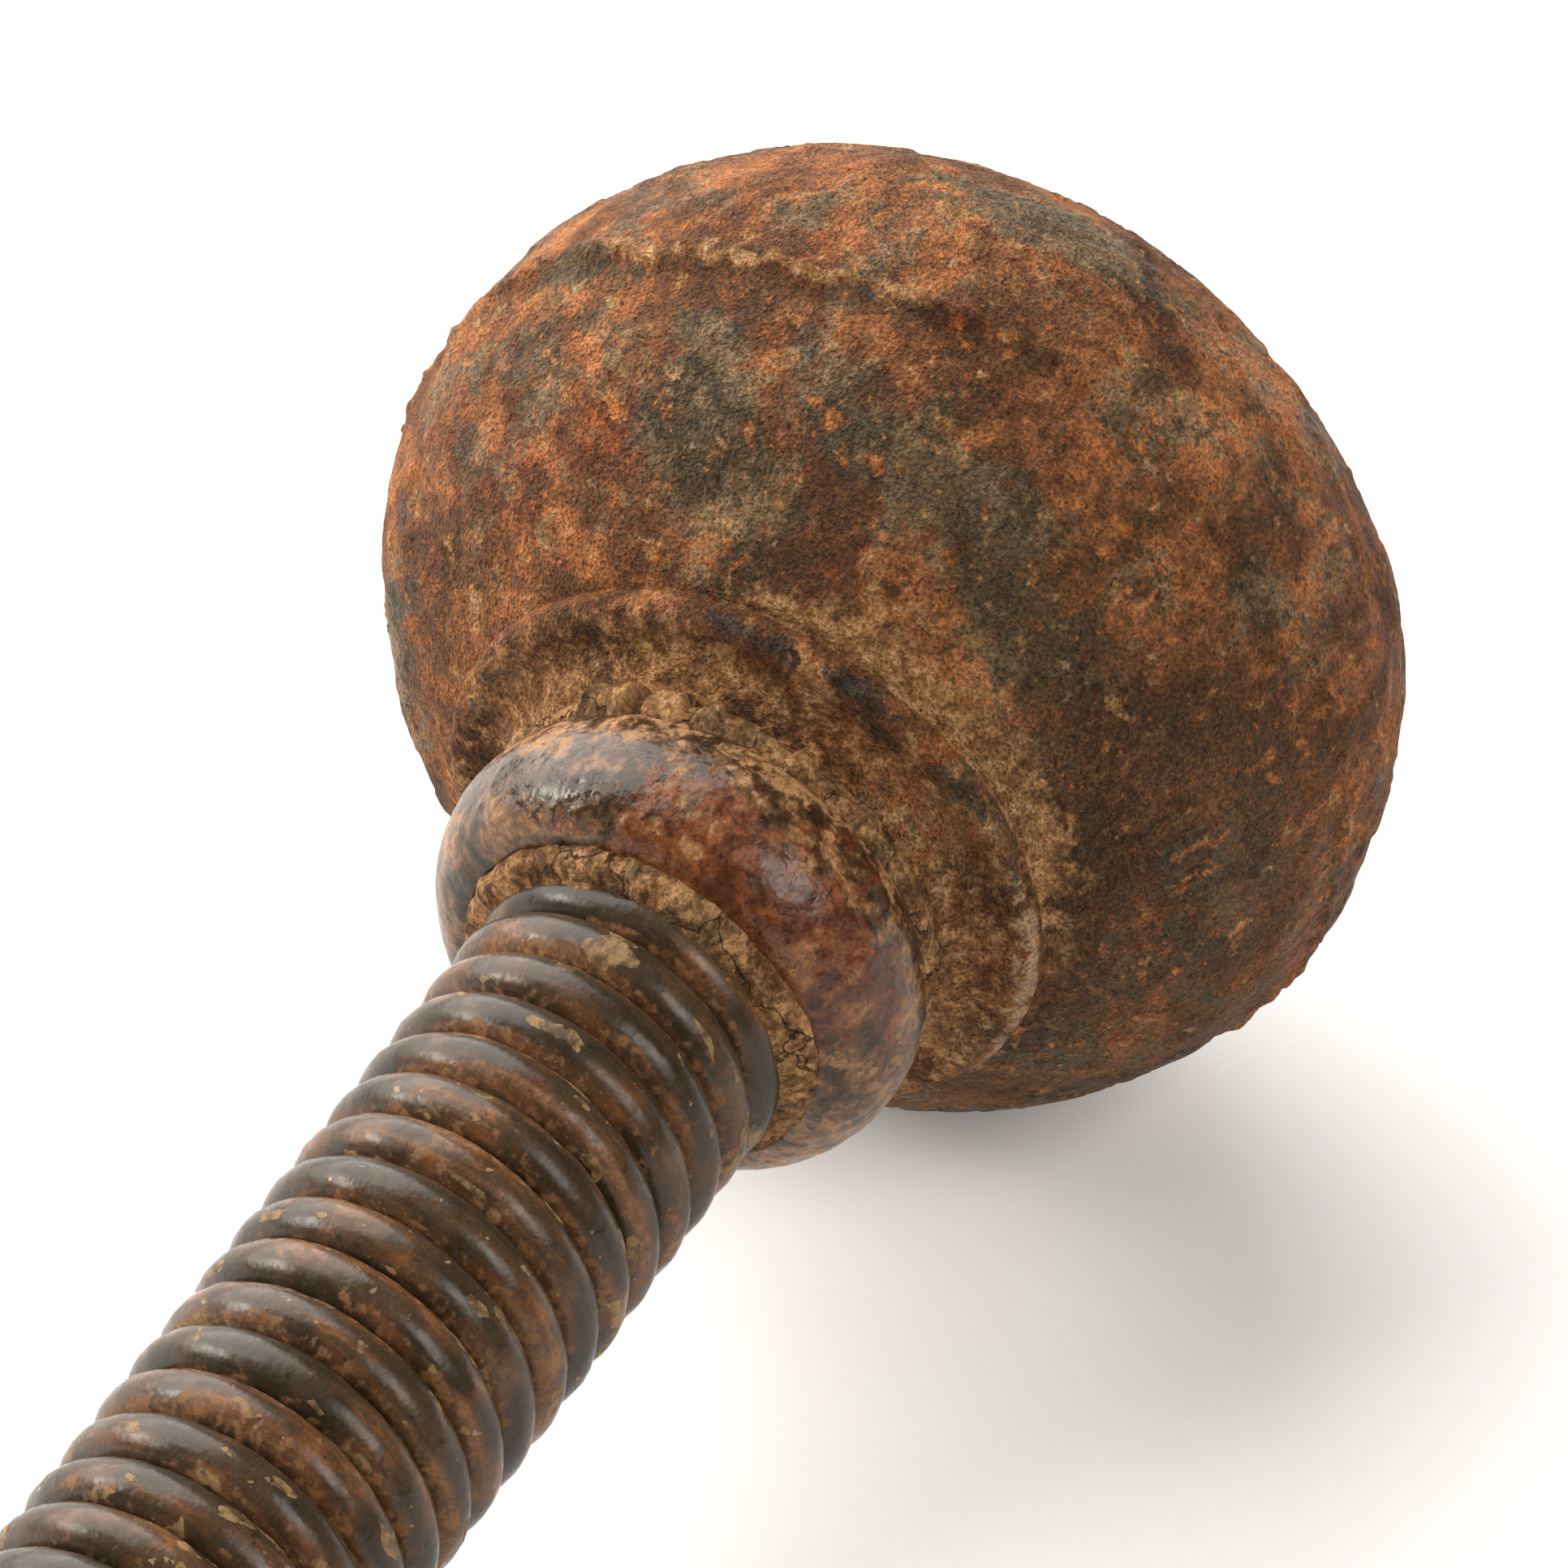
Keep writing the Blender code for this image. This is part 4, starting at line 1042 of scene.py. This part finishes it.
# Each light's place from the ball's neck and its size, in metres, its power in watts and its colour
LIGHTS = {
    "key": ((0.56, 1.16, 1.15), (2.4, 2.4), 92.0, (1.0, 0.985, 0.96)),
    "side": ((-0.18, -0.66, 0.67), (0.52, 0.50), 5.6, (1.0, 0.96, 0.90)),
    "panel": ((-0.33, 0.81, 0.38), (0.34, 0.26), 5.0, (1.0, 0.95, 0.87)),
}


def build_floor():
    """A plain pale floor just under the club, which stays as pale where the light no longer reaches it."""
    mesh = bpy.data.meshes.new("floor")
    corners = [(x * FLOOR_REACH, y * FLOOR_REACH, 0) for x, y in ((-1, -1), (1, -1), (1, 1), (-1, 1))]
    mesh.from_pydata(corners, [], [(0, 1, 2, 3)])
    floor = bpy.data.objects.new("floor", mesh)
    bpy.context.scene.collection.objects.link(floor)
    floor.location.z = CAD_BOX[0][2] - FLOOR_GAP
    s = Shader("pale_floor", on_cad_mesh=True)
    distance = s.make("ShaderNodeVectorMath", {0: s.place}, operation="LENGTH").outputs["Value"]
    # The floor glows: faintly under the club, painted light that lightens its shadow and the club's lower faces,
    # and near white far off
    glow = s.step(distance, GLOW_START, GLOW_END, 0.10, 0.92)
    s.colour = (0.82, 0.82, 0.81)
    values = {"Specular_IOR_Level": 0.1, "Emission_Color": (1.0, 1.0, 1.0), "Emission_Strength": glow}
    mesh.materials.append(s.finish(0.9, **values))


def build_world():
    """A dim, even sky, which is pale where it is seen past the floor's edge."""
    world = bpy.data.worlds.new("studio")
    world.use_nodes = True
    nodes, links = world.node_tree.nodes, world.node_tree.links
    strength = nodes.new("ShaderNodeMapRange")
    links.new(nodes.new("ShaderNodeLightPath").outputs["Is Camera Ray"], strength.inputs["Value"])
    strength.inputs["To Min"].default_value = 0.07
    strength.inputs["To Max"].default_value = 0.95
    links.new(strength.outputs["Result"], nodes["Background"].inputs["Strength"])
    nodes["Background"].inputs["Color"].default_value = (1.0, 1.0, 1.0, 1.0)
    bpy.context.scene.world = world


def aim(thing, place, direction):
    """Put a light or camera at a place, looking in a direction and held level."""
    thing.location = place
    thing.rotation_euler = direction.to_track_quat("-Z", "Y").to_euler()
    bpy.context.scene.collection.objects.link(thing)


def build_view():
    """The camera and the lights."""
    camera = bpy.data.objects.new("camera", bpy.data.cameras.new("camera"))
    level = math.cos(CAMERA_DROP)
    ahead = (level * math.cos(CAMERA_AZIMUTH), level * math.sin(CAMERA_AZIMUTH), -math.sin(CAMERA_DROP))
    aim(camera, CAMERA_PLACE, Vector(ahead))
    camera.data.sensor_width = SENSOR_WIDTH
    camera.data.lens = LENS
    camera.data.clip_start = 0.01
    bpy.context.scene.camera = camera
    middle = SHAFT @ Vector((0, 0, 20))
    for name, (offset, size, power, colour) in LIGHTS.items():
        lamp = bpy.data.lights.new(name, "AREA")
        lamp.shape = "RECTANGLE"
        lamp.size, lamp.size_y = size
        lamp.energy = power
        lamp.color = colour
        aim(bpy.data.objects.new(name, lamp), middle + Vector(offset), -Vector(offset))
    bpy.context.scene.view_settings.view_transform = "Standard"


build_floor()
build_world()
build_view()
